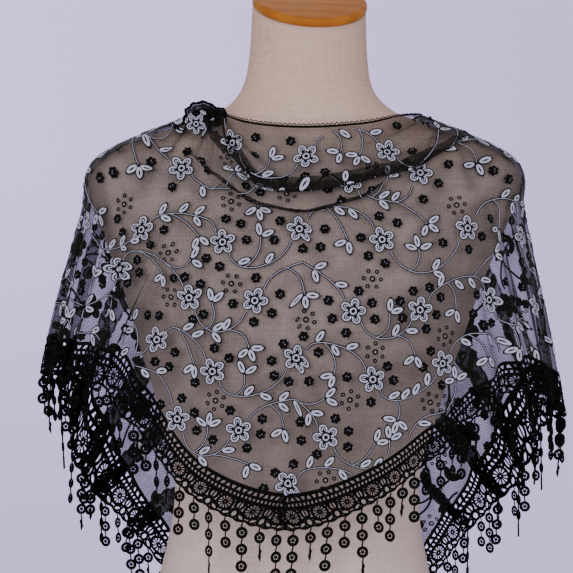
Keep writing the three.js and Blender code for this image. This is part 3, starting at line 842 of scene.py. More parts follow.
class Shader:
    """A material or node group under construction."""

    def __init__(self, tree: Tree) -> None:
        """Keep the tree that nodes are added to."""
        self.tree = tree

    @classmethod
    def material(cls, name: str) -> "Shader":
        """Start a material with a Principled BSDF."""
        material = bpy.data.materials.new(name)
        material.use_nodes = True
        shader = cls(material.node_tree)
        shader.material_made = material
        shader.bsdf = material.node_tree.nodes["Principled BSDF"]
        return shader

    @classmethod
    def group(cls, name: str, inputs: dict[str, float], outputs: tuple[str, ...]) -> "Shader":
        """Start a node group that takes a vector and numbers, with their defaults, and gives numbers."""
        tree = bpy.data.node_groups.new(name, "ShaderNodeTree")
        tree.interface.new_socket("Vector", in_out="INPUT", socket_type="NodeSocketVector")
        for socket, default in inputs.items():
            made = tree.interface.new_socket(socket, in_out="INPUT", socket_type="NodeSocketFloat")
            made.default_value = default
        for socket in outputs:
            tree.interface.new_socket(socket, in_out="OUTPUT", socket_type="NodeSocketFloat")
        shader = cls(tree)
        shader.entry = tree.nodes.new("NodeGroupInput")
        shader.exit = tree.nodes.new("NodeGroupOutput")
        return shader

    def node(self, kind: str, feeds: dict[str | int, object] | None = None, **settings: object) -> bpy.types.Node:
        """Add a node.

        Args:
            kind: The node's type, without its ShaderNode prefix.
            feeds: For each input, a socket to link or a value to set.
            settings: Properties of the node.

        Returns:
            The new node.
        """
        made = self.tree.nodes.new(f"ShaderNode{kind}")
        for name, value in settings.items():
            setattr(made, name, value)
        for name, value in (feeds or {}).items():
            self.feed(made.inputs[name], value)
        return made

    def feed(self, socket: Socket, value: object) -> None:
        """Link a socket to another, or set its value."""
        if isinstance(value, Socket):
            self.tree.links.new(value, socket)
        else:
            socket.default_value = value

    def surface(self, feeds: dict[str, object]) -> Material:
        """Feed the Principled BSDF's sockets, or set their values, and return the material."""
        for name, value in feeds.items():
            self.feed(self.bsdf.inputs[name], value)
        return self.material_made

    def maths(self, operation: str, *values: object) -> Socket:
        """Add a Math node and return its result."""
        return self.node("Math", dict(enumerate(values)), operation=operation).outputs[0]

    def ramp(self, value: object, low: float, high: float, to_low: float, to_high: float) -> Socket:
        """Map a range of a value smoothly to another range."""
        feeds = {"Value": value, "From Min": low, "From Max": high, "To Min": to_low, "To Max": to_high}
        return self.node("MapRange", feeds, interpolation_type="SMOOTHSTEP").outputs["Result"]

    def mix(self, share: object, first: Triple | Socket, second: Triple | Socket) -> Socket:
        """Mix two colours by a share."""
        factor, colour_a, colour_b, result = 0, 6, 7, 2
        mixed = self.node("Mix", data_type="RGBA")
        self.feed(mixed.inputs[factor], share)
        for socket, colour in ((colour_a, first), (colour_b, second)):
            self.feed(mixed.inputs[socket], (*colour, 1.0) if isinstance(colour, tuple) else colour)
        return mixed.outputs[result]

    def noise(self, vector: Socket, scale: float, detail: float = 2.0) -> Socket:
        """Add soft noise and return its value."""
        return self.node("TexNoise", {"Vector": vector, "Scale": scale, "Detail": detail}).outputs["Fac"]

    def stretched_noise(self, vector: Socket, scale: Triple, detail: float = 2.0) -> Socket:
        """Add noise with its own scale along each axis and return its value."""
        return self.noise(self.node("Mapping", {"Vector": vector, "Scale": scale}).outputs["Vector"], 1.0, detail)

    def parts(self, vector: Socket) -> bpy.types.bpy_prop_collection:
        """Part a vector and return its X, Y and Z."""
        return self.node("SeparateXYZ", {"Vector": vector}).outputs

    def wave(self, along: Socket, turns: Socket) -> Socket:
        """Add a sine wave from 0 to 1 and return it.

        Args:
            along: Where the wave is read.
            turns: Its turns for each unit.
        """
        angle = self.maths("MULTIPLY", along, self.maths("MULTIPLY", turns, 2 * math.pi))
        return self.maths("MULTIPLY_ADD", self.maths("SINE", angle), 0.5, 0.5)

    def bump(self, height: Socket, depth: float) -> Socket:
        """Turn a height into a normal and return it."""
        return self.node("Bump", {"Height": height, "Distance": depth}).outputs["Normal"]


class Coordinates(Enum):
    """Where a pattern lies."""

    FLAT = "Flat"
    STITCH = "Stitch"
    OBJECT = "Object"

    def read(self, shader: Shader) -> Socket:
        """Give the socket that puts the coordinates out."""
        if self is Coordinates.OBJECT:
            return shader.node("TexCoord").outputs["Object"]
        return shader.node("UVMap", uv_map=self.value).outputs["UV"]


def thread_group() -> Tree:
    """Build the group for wound and stitched thread: strands that cross a cord, and fuzz, with painted shade
    between the strands.
    """
    made = Shader.group("wound_thread", {"Pitch": 0.7, "Slant": 0.35}, ("Height", "ToneAndGrooveShade"))
    vector, pitch, slant = (made.entry.outputs[name] for name in ("Vector", "Pitch", "Slant"))
    parts = made.parts(vector)
    leaning = made.maths("ADD", parts["X"], made.maths("MULTIPLY", parts["Y"], slant))
    strands = made.wave(leaning, made.maths("DIVIDE", 1.0, pitch))
    fuzz = made.noise(vector, 2.3, 3.0)
    made.feed(made.exit.inputs["Height"], made.maths("MULTIPLY_ADD", fuzz, 0.5, strands))
    # Painted shade: the colour output darkens between the strands, where the bump is low, and the fuzz adds
    # random tone.
    made.feed(made.exit.inputs["ToneAndGrooveShade"], made.maths("MULTIPLY_ADD", strands, 0.35, fuzz))
    return made.tree


def weave_group() -> Tree:
    """Build the group for plain weave with uneven yarns."""
    made = Shader.group("plain_weave", {"Pitch": 0.0009}, ("Height", "Slubs"))
    vector, pitch = made.entry.outputs["Vector"], made.entry.outputs["Pitch"]
    parts, turns = made.parts(vector), made.maths("DIVIDE", 1.0, pitch)
    round_form = made.maths("ADD", parts["X"], parts["Y"])
    waves = [made.wave(along, turns) for along in (round_form, parts["Z"])]
    made.feed(made.exit.inputs["Height"], made.maths("MAXIMUM", *waves))
    yarns = [made.stretched_noise(vector, scale) for scale in ((26.0, 26.0, 620.0), (620.0, 620.0, 22.0))]
    made.feed(made.exit.inputs["Slubs"], made.maths("MULTIPLY", made.maths("ADD", *yarns), 0.5))
    return made.tree


def grain_group() -> Tree:
    """Build the group for flat-sawn pale wood: wide growth bands and fine pores."""
    made = Shader.group("wood_grain", {"Bands": 60.0}, ("Bands", "Pores"))
    vector, bands = made.entry.outputs["Vector"], made.entry.outputs["Bands"]
    across = made.maths("MULTIPLY_ADD", made.noise(vector, 9.0), 0.05, made.parts(vector)["Y"])
    made.feed(made.exit.inputs["Bands"], made.wave(across, bands))
    made.feed(made.exit.inputs["Pores"], made.stretched_noise(vector, (60.0, 1400.0, 900.0), 3.0))
    return made.tree


@dataclass(frozen=True)
class ThreadFinish:
    """Embroidery or lace thread."""

    name: str
    dark: Triple
    light: Triple
    shine: float
    depth: float
    pitch: float = 0.5
    slant: float = 0.4
    rough: float = 0.6
    sheen: float = 0.0
    sheen_rough: float = 0.4

    def make(self, thread: Tree) -> Material:
        """Make the material with the wound thread group."""
        made = Shader.material(self.name)
        wound = made.node("Group", node_tree=thread)
        feeds = {"Vector": Coordinates.STITCH.read(made), "Pitch": self.pitch, "Slant": self.slant}
        for socket, value in feeds.items():
            made.feed(wound.inputs[socket], value)
        # The base colour carries painted shade between the thread's strands, with random tone from the fuzz.
        return made.surface({"Base Color": made.mix(wound.outputs["ToneAndGrooveShade"], self.dark, self.light),
                             "Roughness": self.rough, "Sheen Weight": self.sheen,
                             "Sheen Roughness": self.sheen_rough, "Specular IOR Level": self.shine,
                             "Normal": made.bump(wound.outputs["Height"], self.depth)})


@dataclass(frozen=True)
class TulleFinish:
    """Fine net with round holes, partly see-through."""

    name: str
    open_alpha: float
    thread_alpha: float
    colour: Triple = (0.012, 0.010, 0.009)
    hole_pitch: float = 0.0013
    thread_share: Pair = (0.03, 0.2)
    least_cosine: float = 0.13
    ends_from: Pair = (0.36, 0.50)
    low_from: Pair = (0.49, 0.43)
    end_layers: float = 1.6

    def make(self) -> Material:
        """Make the material. The low ends of the shawl, where it bunches up, are denser."""
        made = Shader.material(self.name)
        flat = Coordinates.FLAT.read(made)
        sideways = made.maths("ABSOLUTE", made.parts(flat)["X"])
        height = made.parts(Coordinates.OBJECT.read(made))["Z"]
        bunched = made.maths("MULTIPLY", made.ramp(sideways, *self.ends_from, 0, 1),
                             made.ramp(height, *self.low_from, 0, 1))
        layers = made.maths("MULTIPLY_ADD", bunched, self.end_layers, 1.0)
        cells = made.node("TexVoronoi", {"Vector": flat, "Scale": 1 / self.hole_pitch, "Randomness": 0.35},
                          voronoi_dimensions="2D", feature="DISTANCE_TO_EDGE").outputs["Distance"]
        threads = made.ramp(cells, *self.thread_share, self.thread_alpha, self.open_alpha)
        uneven = made.ramp(made.noise(flat, 45.0), 0.3, 0.7, 0.85, 1.15)
        clear = made.maths("SUBTRACT", 1.0, made.maths("MULTIPLY", threads, uneven))
        tilt = made.node("LayerWeight", {"Blend": 0.5}).outputs["Facing"]
        cosine = made.maths("MAXIMUM", made.maths("SUBTRACT", 1.0, tilt), self.least_cosine)
        seen_through = made.maths("POWER", clear, made.maths("DIVIDE", layers, cosine))
        return made.surface({"Alpha": made.maths("SUBTRACT", 1.0, seen_through), "Base Color": (*self.colour, 1),
                             "Roughness": 0.7, "Specular IOR Level": 0.1})


@dataclass(frozen=True)
class LinenFinish:
    """Natural linen over a padded form, with painted light: tinted warmer at the neck and cooler and bluer lower
    down.
    """

    name: str = "natural_linen"
    light: Triple = (0.73, 0.53, 0.445)
    dark: Triple = (0.62, 0.435, 0.36)
    # Painted light: a warm tint for the lit neck and a cool, blue tint for the shaded body.
    neck_warm_light_tint: Triple = (0.95, 0.91, 0.90)
    body_cool_shade_tint: Triple = (0.97, 1.07, 1.20)
    neck_from: Pair = (0.60, 0.68)

    def make(self, weave: Tree) -> Material:
        """Make the material with the plain weave group."""
        made = Shader.material(self.name)
        place = Coordinates.OBJECT.read(made)
        cloth = made.node("Group", node_tree=weave)
        made.feed(cloth.inputs["Vector"], place)
        slubs = cloth.outputs["Slubs"]
        tone = made.maths("MULTIPLY_ADD", made.maths("SUBTRACT", made.noise(place, 7.0), 0.5), 0.5, slubs)
        cloth_colour = made.mix(made.ramp(tone, 0.32, 0.68, 0, 1), self.dark, self.light)
        # Painted light: the cloth is tinted warm at the neck and cool and blue below it, standing for warm light
        # on the neck and cool shade on the body.
        painted_light_tint = made.mix(made.ramp(made.parts(place)["Z"], *self.neck_from, 0, 1), self.body_cool_shade_tint, self.neck_warm_light_tint)
        tinted = made.node("VectorMath", {0: cloth_colour, 1: painted_light_tint}, operation="MULTIPLY").outputs["Vector"]
        raised = made.maths("MULTIPLY_ADD", slubs, 2.5, cloth.outputs["Height"])
        return made.surface({"Base Color": tinted, "Roughness": 0.92, "Specular IOR Level": 0.1,
                             "Normal": made.bump(raised, 0.00025)})


@dataclass(frozen=True)
class WoodFinish:
    """Pale varnished wood."""

    name: str = "honey_wood"
    light: Triple = (0.44, 0.155, 0.02)
    dark: Triple = (0.31, 0.09, 0.01)

    def make(self, grain: Tree) -> Material:
        """Make the material with the wood grain group."""
        made = Shader.material(self.name)
        wood = made.node("Group", node_tree=grain)
        made.feed(wood.inputs["Vector"], Coordinates.OBJECT.read(made))
        bands, pores = wood.outputs["Bands"], wood.outputs["Pores"]
        tone = made.maths("MULTIPLY_ADD", pores, 0.5, made.maths("MULTIPLY", bands, 0.5))
        return made.surface({"Base Color": made.mix(tone, self.light, self.dark),
                             "Roughness": made.ramp(pores, 0.3, 0.7, 0.28, 0.42), "Specular IOR Level": 0.07,
                             "Coat Weight": 0.05, "Coat Roughness": 0.12, "Normal": made.bump(pores, 0.00015)})


@dataclass
class Finishes:
    """Every material of the part."""

    tulle: Material
    gathered: Material
    white: Material
    black: Material
    lace: Material
    linen: Material
    wood: Material

    @classmethod
    def make(cls) -> "Finishes":
        """Make the materials and the node groups that they share."""
        thread = thread_group()
        white = ThreadFinish("grey_white_satin_stitch", (0.20, 0.20, 0.27), (0.54, 0.54, 0.70),
                             shine=0.16, depth=0.00008, rough=0.55, sheen=0.15)
        black = ThreadFinish("black_satin_stitch", (0.0008, 0.0008, 0.0008), (0.006, 0.0055, 0.006),
                             shine=0.04, depth=0.0001)
        lace = ThreadFinish("black_guipure_thread", (0.0006, 0.0006, 0.0006), (0.005, 0.0048, 0.005),
                            shine=0.05, depth=0.00015, pitch=0.8, slant=0.9)
        return cls(
            tulle=TulleFinish("black_tulle", 0.225, 0.62).make(),
            gathered=TulleFinish("gathered_black_tulle", 0.86, 0.95).make(),
            white=white.make(thread),
            black=black.make(thread),
            lace=lace.make(thread),
            linen=LinenFinish().make(weave_group()),
            wood=WoodFinish().make(grain_group()),
        )


# Pieces of the form


@dataclass
class DressForm:
    """The linen torso, its neck cap and base board."""

    shape: FormShape
    finishes: Finishes
    sides: int = 160
    levels: int = 150
    cap_radius: float = 55.0
    cap_thickness: float = 9.0
    cap_round: float = 3.5
    cap_sides: int = 96
    seam_gap: float = 0.35
    neck_middle: float = 4.0
    board_thickness: float = 12.0
    board_inset: float = 6.0
    board_round: float = 1.5
    board_sides: int = 128

    def build(self) -> None:
        """Build the form's pieces."""
        self.torso()
        self.neck_cap()
        self.base_board()

    def torso(self) -> None:
        """Build the linen body as one smooth closed skin."""
        body = grid_piece("form_body", self.finishes.linen, self.sides, self.levels)
        turn, height = points_of(body)[:, :2].T
        heights = self.shape.bottom + (self.shape.top - self.shape.bottom) * height
        points = np.empty((len(turn), 3))
        for z in np.unique(heights):
            level = heights == z
            points[level] = self.shape.ring(z, turn[level] * 2 * math.pi)
        move_points(body, points * MM)
        mesh = bmesh.new()
        mesh.from_mesh(body.data)
        bmesh.ops.remove_doubles(mesh, verts=mesh.verts, dist=1e-6)
        rims = [edge for edge in mesh.edges if edge.is_boundary]
        bmesh.ops.holes_fill(mesh, edges=rims)
        bmesh.ops.recalc_face_normals(mesh, faces=mesh.faces)
        mesh.to_mesh(body.data)
        mesh.free()
        body.data.shade_smooth()
        settle(body, "linen", "torso")

    def neck_cap(self) -> None:
        """Turn the cap's rounded profile and tilt it onto the slanted neck."""
        mesh = bmesh.new()
        outer, top, edge = self.cap_radius, self.cap_thickness, self.cap_round
        corners = [(outer - edge, edge, -90, 0), (outer - edge, top - edge, 0, 90)]
        profile = [(0.0, 0.0)]
        for x, z, start, end in corners:
            profile += [tuple(place) for place in arc((x, z), (edge, edge), 6, start, end)]
        profile.append((0.0, top))
        verts = [mesh.verts.new((x * MM, 0, z * MM)) for x, z in profile]
        edges = [mesh.edges.new(pair) for pair in zip(verts, verts[1:])]
        bmesh.ops.spin(mesh, geom=verts + edges, cent=(0, 0, 0), axis=(0, 0, 1), angle=2 * math.pi,
                       steps=self.cap_sides, use_merge=True)
        bmesh.ops.remove_doubles(mesh, verts=mesh.verts, dist=1e-6)
        bmesh.ops.recalc_face_normals(mesh, faces=mesh.faces)
        normal = Vector((-self.shape.side_slant, -self.shape.slant, 1)).normalized()
        level = Vector((self.neck_middle, 0, self.shape.top + self.shape.side_slant * self.neck_middle))
        tilt = Vector((0, 0, 1)).rotation_difference(normal).to_matrix().to_4x4()
        place = Matrix.Translation((level + normal * self.seam_gap) * MM) @ tilt
        bmesh.ops.transform(mesh, matrix=place, verts=mesh.verts)
        settle(piece_from(mesh, "neck_cap_turned", self.finishes.wood), "wood", "neck_cap")

    def base_board(self) -> None:
        """Build the oval board with softened edges."""
        mesh = bmesh.new()
        angles = np.linspace(0, 2 * math.pi, self.board_sides, endpoint=False)
        rim = self.shape.ring(0.0, angles, -self.board_inset) * MM
        verts = [mesh.verts.new((x, y, 0)) for x, y, _ in rim]
        face = mesh.faces.new(verts)
        raised = bmesh.ops.extrude_face_region(mesh, geom=[face])["geom"]
        lifted = [item for item in raised if isinstance(item, bmesh.types.BMVert)]
        bmesh.ops.translate(mesh, verts=lifted, vec=(0, 0, self.board_thickness * MM))
        bmesh.ops.recalc_face_normals(mesh, faces=mesh.faces)
        sharp = [edge for edge in mesh.edges if edge.calc_face_angle(0) > 0.8]
        bmesh.ops.bevel(mesh, geom=sharp, offset=self.board_round * MM, segments=3, profile=0.5,
                        affect="EDGES", material=-1)
        settle(piece_from(mesh, "base_board_cut", self.finishes.wood), "wood", "base_board")


# Pieces of the shawl

STRETCHES = ("left_back", "left_shoulder", "front", "right_shoulder", "right_back")


def side_nodes(side: str, kind: str) -> list[str]:
    """Name the CAD nodes of an edging or fringe on one side."""
    return [f"{side}_{part}_{kind}" for part in ("front", "shoulder", "back")]


@dataclass
class ShawlPart:
    """A sub-assembly of the shawl, laid on its drape."""

    drape: Drape
    finishes: Finishes


@dataclass
class Net(ShawlPart):
    """The net body of the shawl, one sheet from tip to tip."""

    across: int = 600
    down: int = 130
    last_rib: float = 8.75
    under_braid: float = 2.0
    close_rows_at: float = 0.16
    close_rows_width: float = 0.11
    close_rows_gain: float = 2.2
    row_samples: int = 400

    def build(self) -> Piece:
        """Build the net and return it."""
        net = grid_piece("net", self.finishes.tulle, self.across, self.down)
        u, v = points_of(net)[:, :2].T
        rib = self.last_rib * (2 * u - 1)
        share = self.row_share(v)
        down = share * self.drape.on_edging(rib, self.under_braid)
        move_points(net, self.drape.sample(rib, down))
        add_uv(net, Coordinates.FLAT, self.drape.flat(rib, down) * MM)
        return settle(net, "net", *(f"{part}_net" for part in STRETCHES))

    def row_share(self, v: Array) -> Array:
        """Space the rows closer where the cowl folds."""
        down = np.linspace(0, 1, self.row_samples)
        near = np.exp(-(((down - self.close_rows_at) / self.close_rows_width) ** 2))
        rows = np.concatenate([[0], np.cumsum(1 + self.close_rows_gain * near[1:])])
        return np.interp(v, rows / rows[-1], down)


@dataclass(frozen=True)
class FlowerShape:
    """Sizes of one embroidered flower, in millimetres."""

    petals: int = 5
    petal_at: float = 7.5
    petal_radii: Pair = (3.9, 3.2)
    petal_width: float = 1.55
    heart_at: float = 7.2
    heart_radii: Pair = (1.9, 1.2)
    heart_width: float = 0.9
    centre_radius: float = 2.6
    centre_width: float = 1.5
    ground_radius: float = 4.6
    outline: float = 0.85
    petal_arc: float = 142.0
    heart_arc: float = 115.0
    reach: float = 12.9


class Motif(Enum):
    """Kinds of separate motif."""

    FLOWER = "flower"
    LEAF = "leaf"
    BLOSSOM = "blossom"
    ROSETTE = "rosette"


@dataclass
class Embroidery(ShawlPart):
    """Flowers, leaves, vines, blossoms and rings stitched on the net."""

    flower: FlowerShape = FlowerShape()
    column_pitch: float = 74.0
    row_pitch: float = 64.0
    first_row: float = 27.0
    jitter: float = 9.0
    flower_above_hem: float = 39.0
    flower_below_edge: float = 14.0
    flower_room: float = 1.2
    motif_above_hem: float = 27.0
    leaf_length: float = 12.8
    leaf_width: float = 5.6
    leaf_outline: float = 1.0
    leaf_shares: tuple[float, ...] = (0.22, 0.44, 0.62, 0.82)
    leaf_turns: Pair = (36, 48)
    leaf_chance: float = 0.66
    leaf_room: float = 3.8
    leaf_clear: float = 3.0
    leaf_tests: Pair = (0.62, 0.95)
    leaf_stem: float = 1.2
    blossom_radius: float = 4.6
    blossom_at: float = 21.5
    blossom_room: float = 5.0
    blossom_sway: Pair = (-2.0, 2.5)
    blossoms: int = 8
    rosette_radius: float = 8.0
    rosette_reach: float = 10.6
    rosette_apart: float = 52.0
    rosette_tries: int = 4000
    vine_width: float = 0.55
    vine_outline: float = 0.85
    vine_swing: float = 22.5
    vine_leaves: float = 50.0
    vine_room: float = 1.4
    vine_above_hem: float = 33.0
    branch_shares: Pair = (0.34, 0.7)
    branch_length: float = 34.0
    branch_bend: float = 0.45
    branch_turns: Pair = (0.5, 1.0)
    branch_curls: Pair = (0.5, 1.3)
    branch_spread: Pair = (62, 84)
    branch_sway: float = 14
    branch_clear: float = 2.2
    branch_leaves_clear: float = 4.4
    span_step: float = 2.6
    span_steps: int = 5
    black_lift: float = 0.25
    white_lift: float = 0.45
    most_circles: int = 30000
    far_off: float = 1e6
    seed: int = 11

    def build(self) -> list[Piece]:
        """Build the embroidery and return its pieces, white first."""
        self.random = np.random.default_rng(self.seed)
        self.places: dict[Motif, list[Triple]] = {kind: [] for kind in Motif}
        self.vines: list[Array] = []
        self.taken = np.full((self.most_circles, 3), self.far_off)
        self.taken_count = 0
        self.lay_out()
        white, black = [], []
        patterns = {Motif.FLOWER: self.flower_patterns(), Motif.LEAF: self.leaf_patterns(),
                    Motif.BLOSSOM: self.blossom_patterns(), Motif.ROSETTE: self.rosette_patterns()}
        for kind, pair in patterns.items():
            places = np.array(self.places[kind])
            for pattern, pieces in zip(pair, (white, black)):
                pieces.append((pattern, self.place_copies(pattern, places)))
        outlined = self.vine_width + 2 * self.vine_outline
        white.append(self.vine_spans(self.vine_width, 0.35, self.white_lift))
        black.append(self.vine_spans(outlined, 0.1, self.black_lift))
        parts = [joined_piece("embroidery_white", self.finishes.white, white),
                 joined_piece("embroidery_black", self.finishes.black, black)]
        return [settle(part, "embroidery") for part in parts]

    def flower_patterns(self) -> tuple[Pattern, Pattern]:
        """Make a five-petalled flower's white stitches and its black ground."""
        shape, white, black = self.flower, Pattern(), Pattern()
        long, wide = (radius + 0.5 * shape.petal_width + shape.outline for radius in shape.petal_radii)
        for petal in range(shape.petals):
            turn = 360 * petal / shape.petals
            way = heading(math.radians(turn))
            arch = arc(way * shape.petal_at, shape.petal_radii, 10, -shape.petal_arc, shape.petal_arc, turn)
            white.sweep(arch, shape.petal_width, 0.45, self.white_lift)
            heart = arc(way * shape.heart_at, shape.heart_radii, 6, -shape.heart_arc, shape.heart_arc, turn)
            white.sweep(heart, shape.heart_width, 0.3, self.white_lift)
            black.disc(way * shape.petal_at, (long, wide), math.radians(turn), 12, 0.1, self.black_lift)
        white.sweep(arc((0, 0), (shape.centre_radius,) * 2, 12), shape.centre_width, 0.5, self.white_lift + 0.15)
        black.disc((0, 0), (shape.ground_radius,) * 2, 0, 10, 0.35, self.black_lift + 0.1)
        return white.finish(), black.finish()

    def leaf_patterns(self) -> tuple[Pattern, Pattern]:
        """Make a pointed leaf that starts at its stem, with a dark slit for its vein."""
        white, black = Pattern(), Pattern()
        length, width = self.leaf_length, self.leaf_width
        round_leaf = np.radians(np.linspace(0, 360, 15))
        half = np.sign(np.sin(round_leaf)) * np.abs(np.sin(round_leaf)) ** 1.35
        band = 0.37 * width
        path = np.stack([0.5 * length - 0.5 * (length - 1.6 * band) * np.cos(round_leaf),
                         -0.5 * (width - band) * half], axis=1)
        white.sweep(path, band, 0.4, self.white_lift)
        made = bmesh.ops.create_circle(black.mesh, cap_ends=True, cap_tris=True, segments=16, radius=1.0)
        for vert in made["verts"]:
            x, y = vert.co.x, vert.co.y
            narrow = abs(y) ** 0.3 if y else 1.0
            vert.co = (0.5 * length + x * (0.5 * length + self.leaf_outline),
                       y * narrow * (0.5 * width + self.leaf_outline),
                       self.black_lift + 0.1 * (1 - vert.co.length))
            vert[black.stitch] = (x * length / 2, 0.5 + 0.5 * y, 0.0)
        return white.finish(), black.finish()

    def blossom_patterns(self) -> tuple[Pattern, Pattern]:
        """Make a small black blossom with a few pale specks, painted highlights for glints on its thread."""
        white, black = Pattern(), Pattern()
        black.disc((0, 0), (self.blossom_radius,) * 2, 0, 18, 1.0, self.black_lift, lobes=6, lobe_depth=0.15)
        # Painted highlight: the pale specks stand for glints of light on the black thread.
        for turn, reach in ((20, 1.4), (265, 1.2)):
            white.disc(reach * heading(math.radians(turn)), (0.5, 0.35), 0, 5, 0.2, 1.0)
        return white.finish(), black.finish()

    def rosette_patterns(self) -> tuple[Pattern, Pattern]:
        """Make a black ring with six small rings round it, and a pale speck."""
        white, black = Pattern(), Pattern()
        black.sweep(arc((0, 0), (2.1, 2.1), 10), 1.5, 0.4, self.black_lift)
        white.disc((0, 0), (0.5, 0.5), 0, 5, 0.2, self.black_lift + 0.1)
        for turn in range(0, 360, 60):
            middle = self.rosette_radius * heading(math.radians(turn))
            black.sweep(arc(middle, (1.5, 1.5), 7), 1.3, 0.35, self.black_lift)
        return white.finish(), black.finish()

    def take(self, places: Array, radius: float) -> None:
        """Mark circles on the flat cloth as used.

        Args:
            places: Their middles.
            radius: Their radius.
        """
        places = np.atleast_2d(places)
        rows = slice(self.taken_count, self.taken_count + len(places))
        self.taken[rows, :2] = places
        self.taken[rows, 2] = radius
        self.taken_count += len(places)

    def free(self, places: Array, radius: float) -> bool:
        """Tell whether circles touch nothing used, nor leave the net.

        Args:
            places: Their middles.
            radius: Their radius.
        """
        places = np.atleast_2d(places)
        if (places[:, 1] < radius + 1).any():
            return False
        if (self.drape.above_hem(places) < self.motif_above_hem + radius).any():
            return False
        used = self.taken[:self.taken_count]
        gaps = np.hypot(places[:, None, 0] - used[:, 0], places[:, None, 1] - used[:, 1]) - used[:, 2] - radius
        return bool((gaps > 0).all())

    def lay_out(self) -> None:
        """Place the motifs: rows of flowers on swinging vines, then branches, leaves, blossoms and rosettes."""
        half_columns = int(self.drape.half_long_edge / self.column_pitch) + 1
        rows = int(self.drape.depth / self.row_pitch) + 1
        flowers, links = [], []
        for row in range(rows):
            columns = np.arange(-half_columns, half_columns + 1)
            x = (columns + 0.5 * (row % 2)) * self.column_pitch
            y = np.full(len(columns), self.first_row + row * self.row_pitch)
            line = np.stack([x, y], axis=1) + self.random.uniform(-self.jitter, self.jitter, (len(columns), 2))
            swings = np.where((columns + row) % 2, 1.0, -1.0)
            flowers += [(place, self.random.uniform(0, 1.2)) for place in line]
            links += list(zip(line, line[1:], swings))
        for place, turn in flowers:
            far_above = self.drape.above_hem(place[None])[0] > self.flower_above_hem
            if far_above and place[1] > self.flower_below_edge:
                self.places[Motif.FLOWER].append((*place, turn))
                self.take(place, self.flower.reach + self.flower_room)
        vines = [self.add_vine(*link) for link in links]
        for vine in vines:
            self.add_branches(vine)
        self.scatter_rosettes()
        self.ring_flowers()
        for vine in vines:
            for share, side in itertools.product(self.leaf_shares, (-1, 1)):
                self.add_leaf(vine, share, side * self.random.uniform(*self.leaf_turns))

    def ring_flowers(self) -> None:
        """Set black blossoms round every flower, where there is room."""
        for x, y, _ in self.places[Motif.FLOWER]:
            start = self.random.uniform(0, 2 * math.pi)
            for angle in start + np.arange(self.blossoms) * 2 * math.pi / self.blossoms:
                reach = self.blossom_at + self.random.uniform(*self.blossom_sway)
                place = np.array([x, y]) + reach * heading(angle)
                if self.free(place, self.blossom_room):
                    self.take(place, self.blossom_room)
                    self.places[Motif.BLOSSOM].append((*place, self.random.uniform(0, 6)))

    def scatter_rosettes(self) -> None:
        """Set ring rosettes, well apart, where there is room."""
        half, depth = self.drape.half_long_edge, self.drape.depth
        spots = self.random.uniform((-half, 0), (half, depth), (self.rosette_tries, 2))
        chosen = np.full((1, 2), self.far_off)
        for place in spots:
            apart = np.hypot(*(chosen - place).T).min() > self.rosette_apart
            if apart and self.free(place, self.rosette_reach):
                chosen = np.vstack([chosen, place])
                self.take(place, self.rosette_reach)
                self.places[Motif.ROSETTE].append((*place, self.random.uniform(0, 1)))

    def add_vine(self, start: Array, end: Array, swing: float) -> Array:
        """Lay a vine between two flowers.

        Args:
            start: The first flower's place.
            end: The next flower's place.
            swing: 1 for a vine that sags below the flowers and -1 for one that rises.

        Returns:
            Places along the vine.
        """
        leave = (self.flower.reach - 1.0) * heading(math.radians(self.vine_leaves)) * (1, swing)
        first, last = start + leave, end + leave * (-1, 1)
        bulge = np.array([0.0, swing * self.vine_swing])
        path = bezier(first, first + bulge + (6, 0), last + bulge - (6, 0), last)
        self.vines.append(path)
        self.take(path, self.vine_room)
        return path

    def add_branches(self, vine: Array) -> None:
        """Grow up to two curled branches with three leaves at the tip, where there is room.

        Args:
            vine: Places along the vine that they grow from.
        """
        for share in self.branch_shares:
            at = int(share * (len(vine) - 1))
            ahead = direction(vine[at + 1] - vine[at])
            for side, length in itertools.product((1, -1), (1.0, 0.75)):
                turn = ahead + side * self.random.uniform(*self.branch_turns)
                curl = turn + side * self.random.uniform(*self.branch_curls)
                reach = length * self.branch_length
                first = vine[at] + self.branch_bend * reach * heading(turn)
                tip = first + (1 - self.branch_bend) * reach * heading(curl)
                branch = bezier(vine[at], first, first + 0.5 * (tip - first), tip, 14)
                spread = np.array([-1, 0, 1]) * self.random.uniform(*self.branch_spread)
                spread += self.random.uniform(-self.branch_sway, self.branch_sway, 3)
                angles = direction(branch[-1] - branch[-2]) + np.radians(spread[self.random.integers(0, 2):])
                ways = np.array([heading(angle) for angle in angles])
                leaves = tip + 0.6 * self.leaf_length * ways
                if self.free(branch[5:], self.branch_clear) and self.free(leaves, self.branch_leaves_clear):
                    self.vines.append(branch)
                    self.take(branch, self.vine_room)
                    self.take(leaves, self.leaf_room)
                    self.places[Motif.LEAF] += [(*(tip + way), angle) for way, angle in zip(ways, angles)]
                    break

    def add_leaf(self, path: Array, share: float, turn: float) -> None:
        """Place a leaf on a vine, where there is room.

        Args:
            path: The vine's places.
            share: How far along the vine it grows.
            turn: Angle from the vine's direction, in degrees.
        """
        at = int(share * (len(path) - 1))
        angle = direction(path[at + 1] - path[at]) + math.radians(turn)
        way = heading(angle)
        middles = path[at] + np.outer(self.leaf_tests, way) * self.leaf_length
        if self.random.random() < self.leaf_chance and self.free(middles, self.leaf_clear):
            self.take(middles[0], self.leaf_room)
            self.places[Motif.LEAF].append((*(path[at] + self.leaf_stem * way), angle))

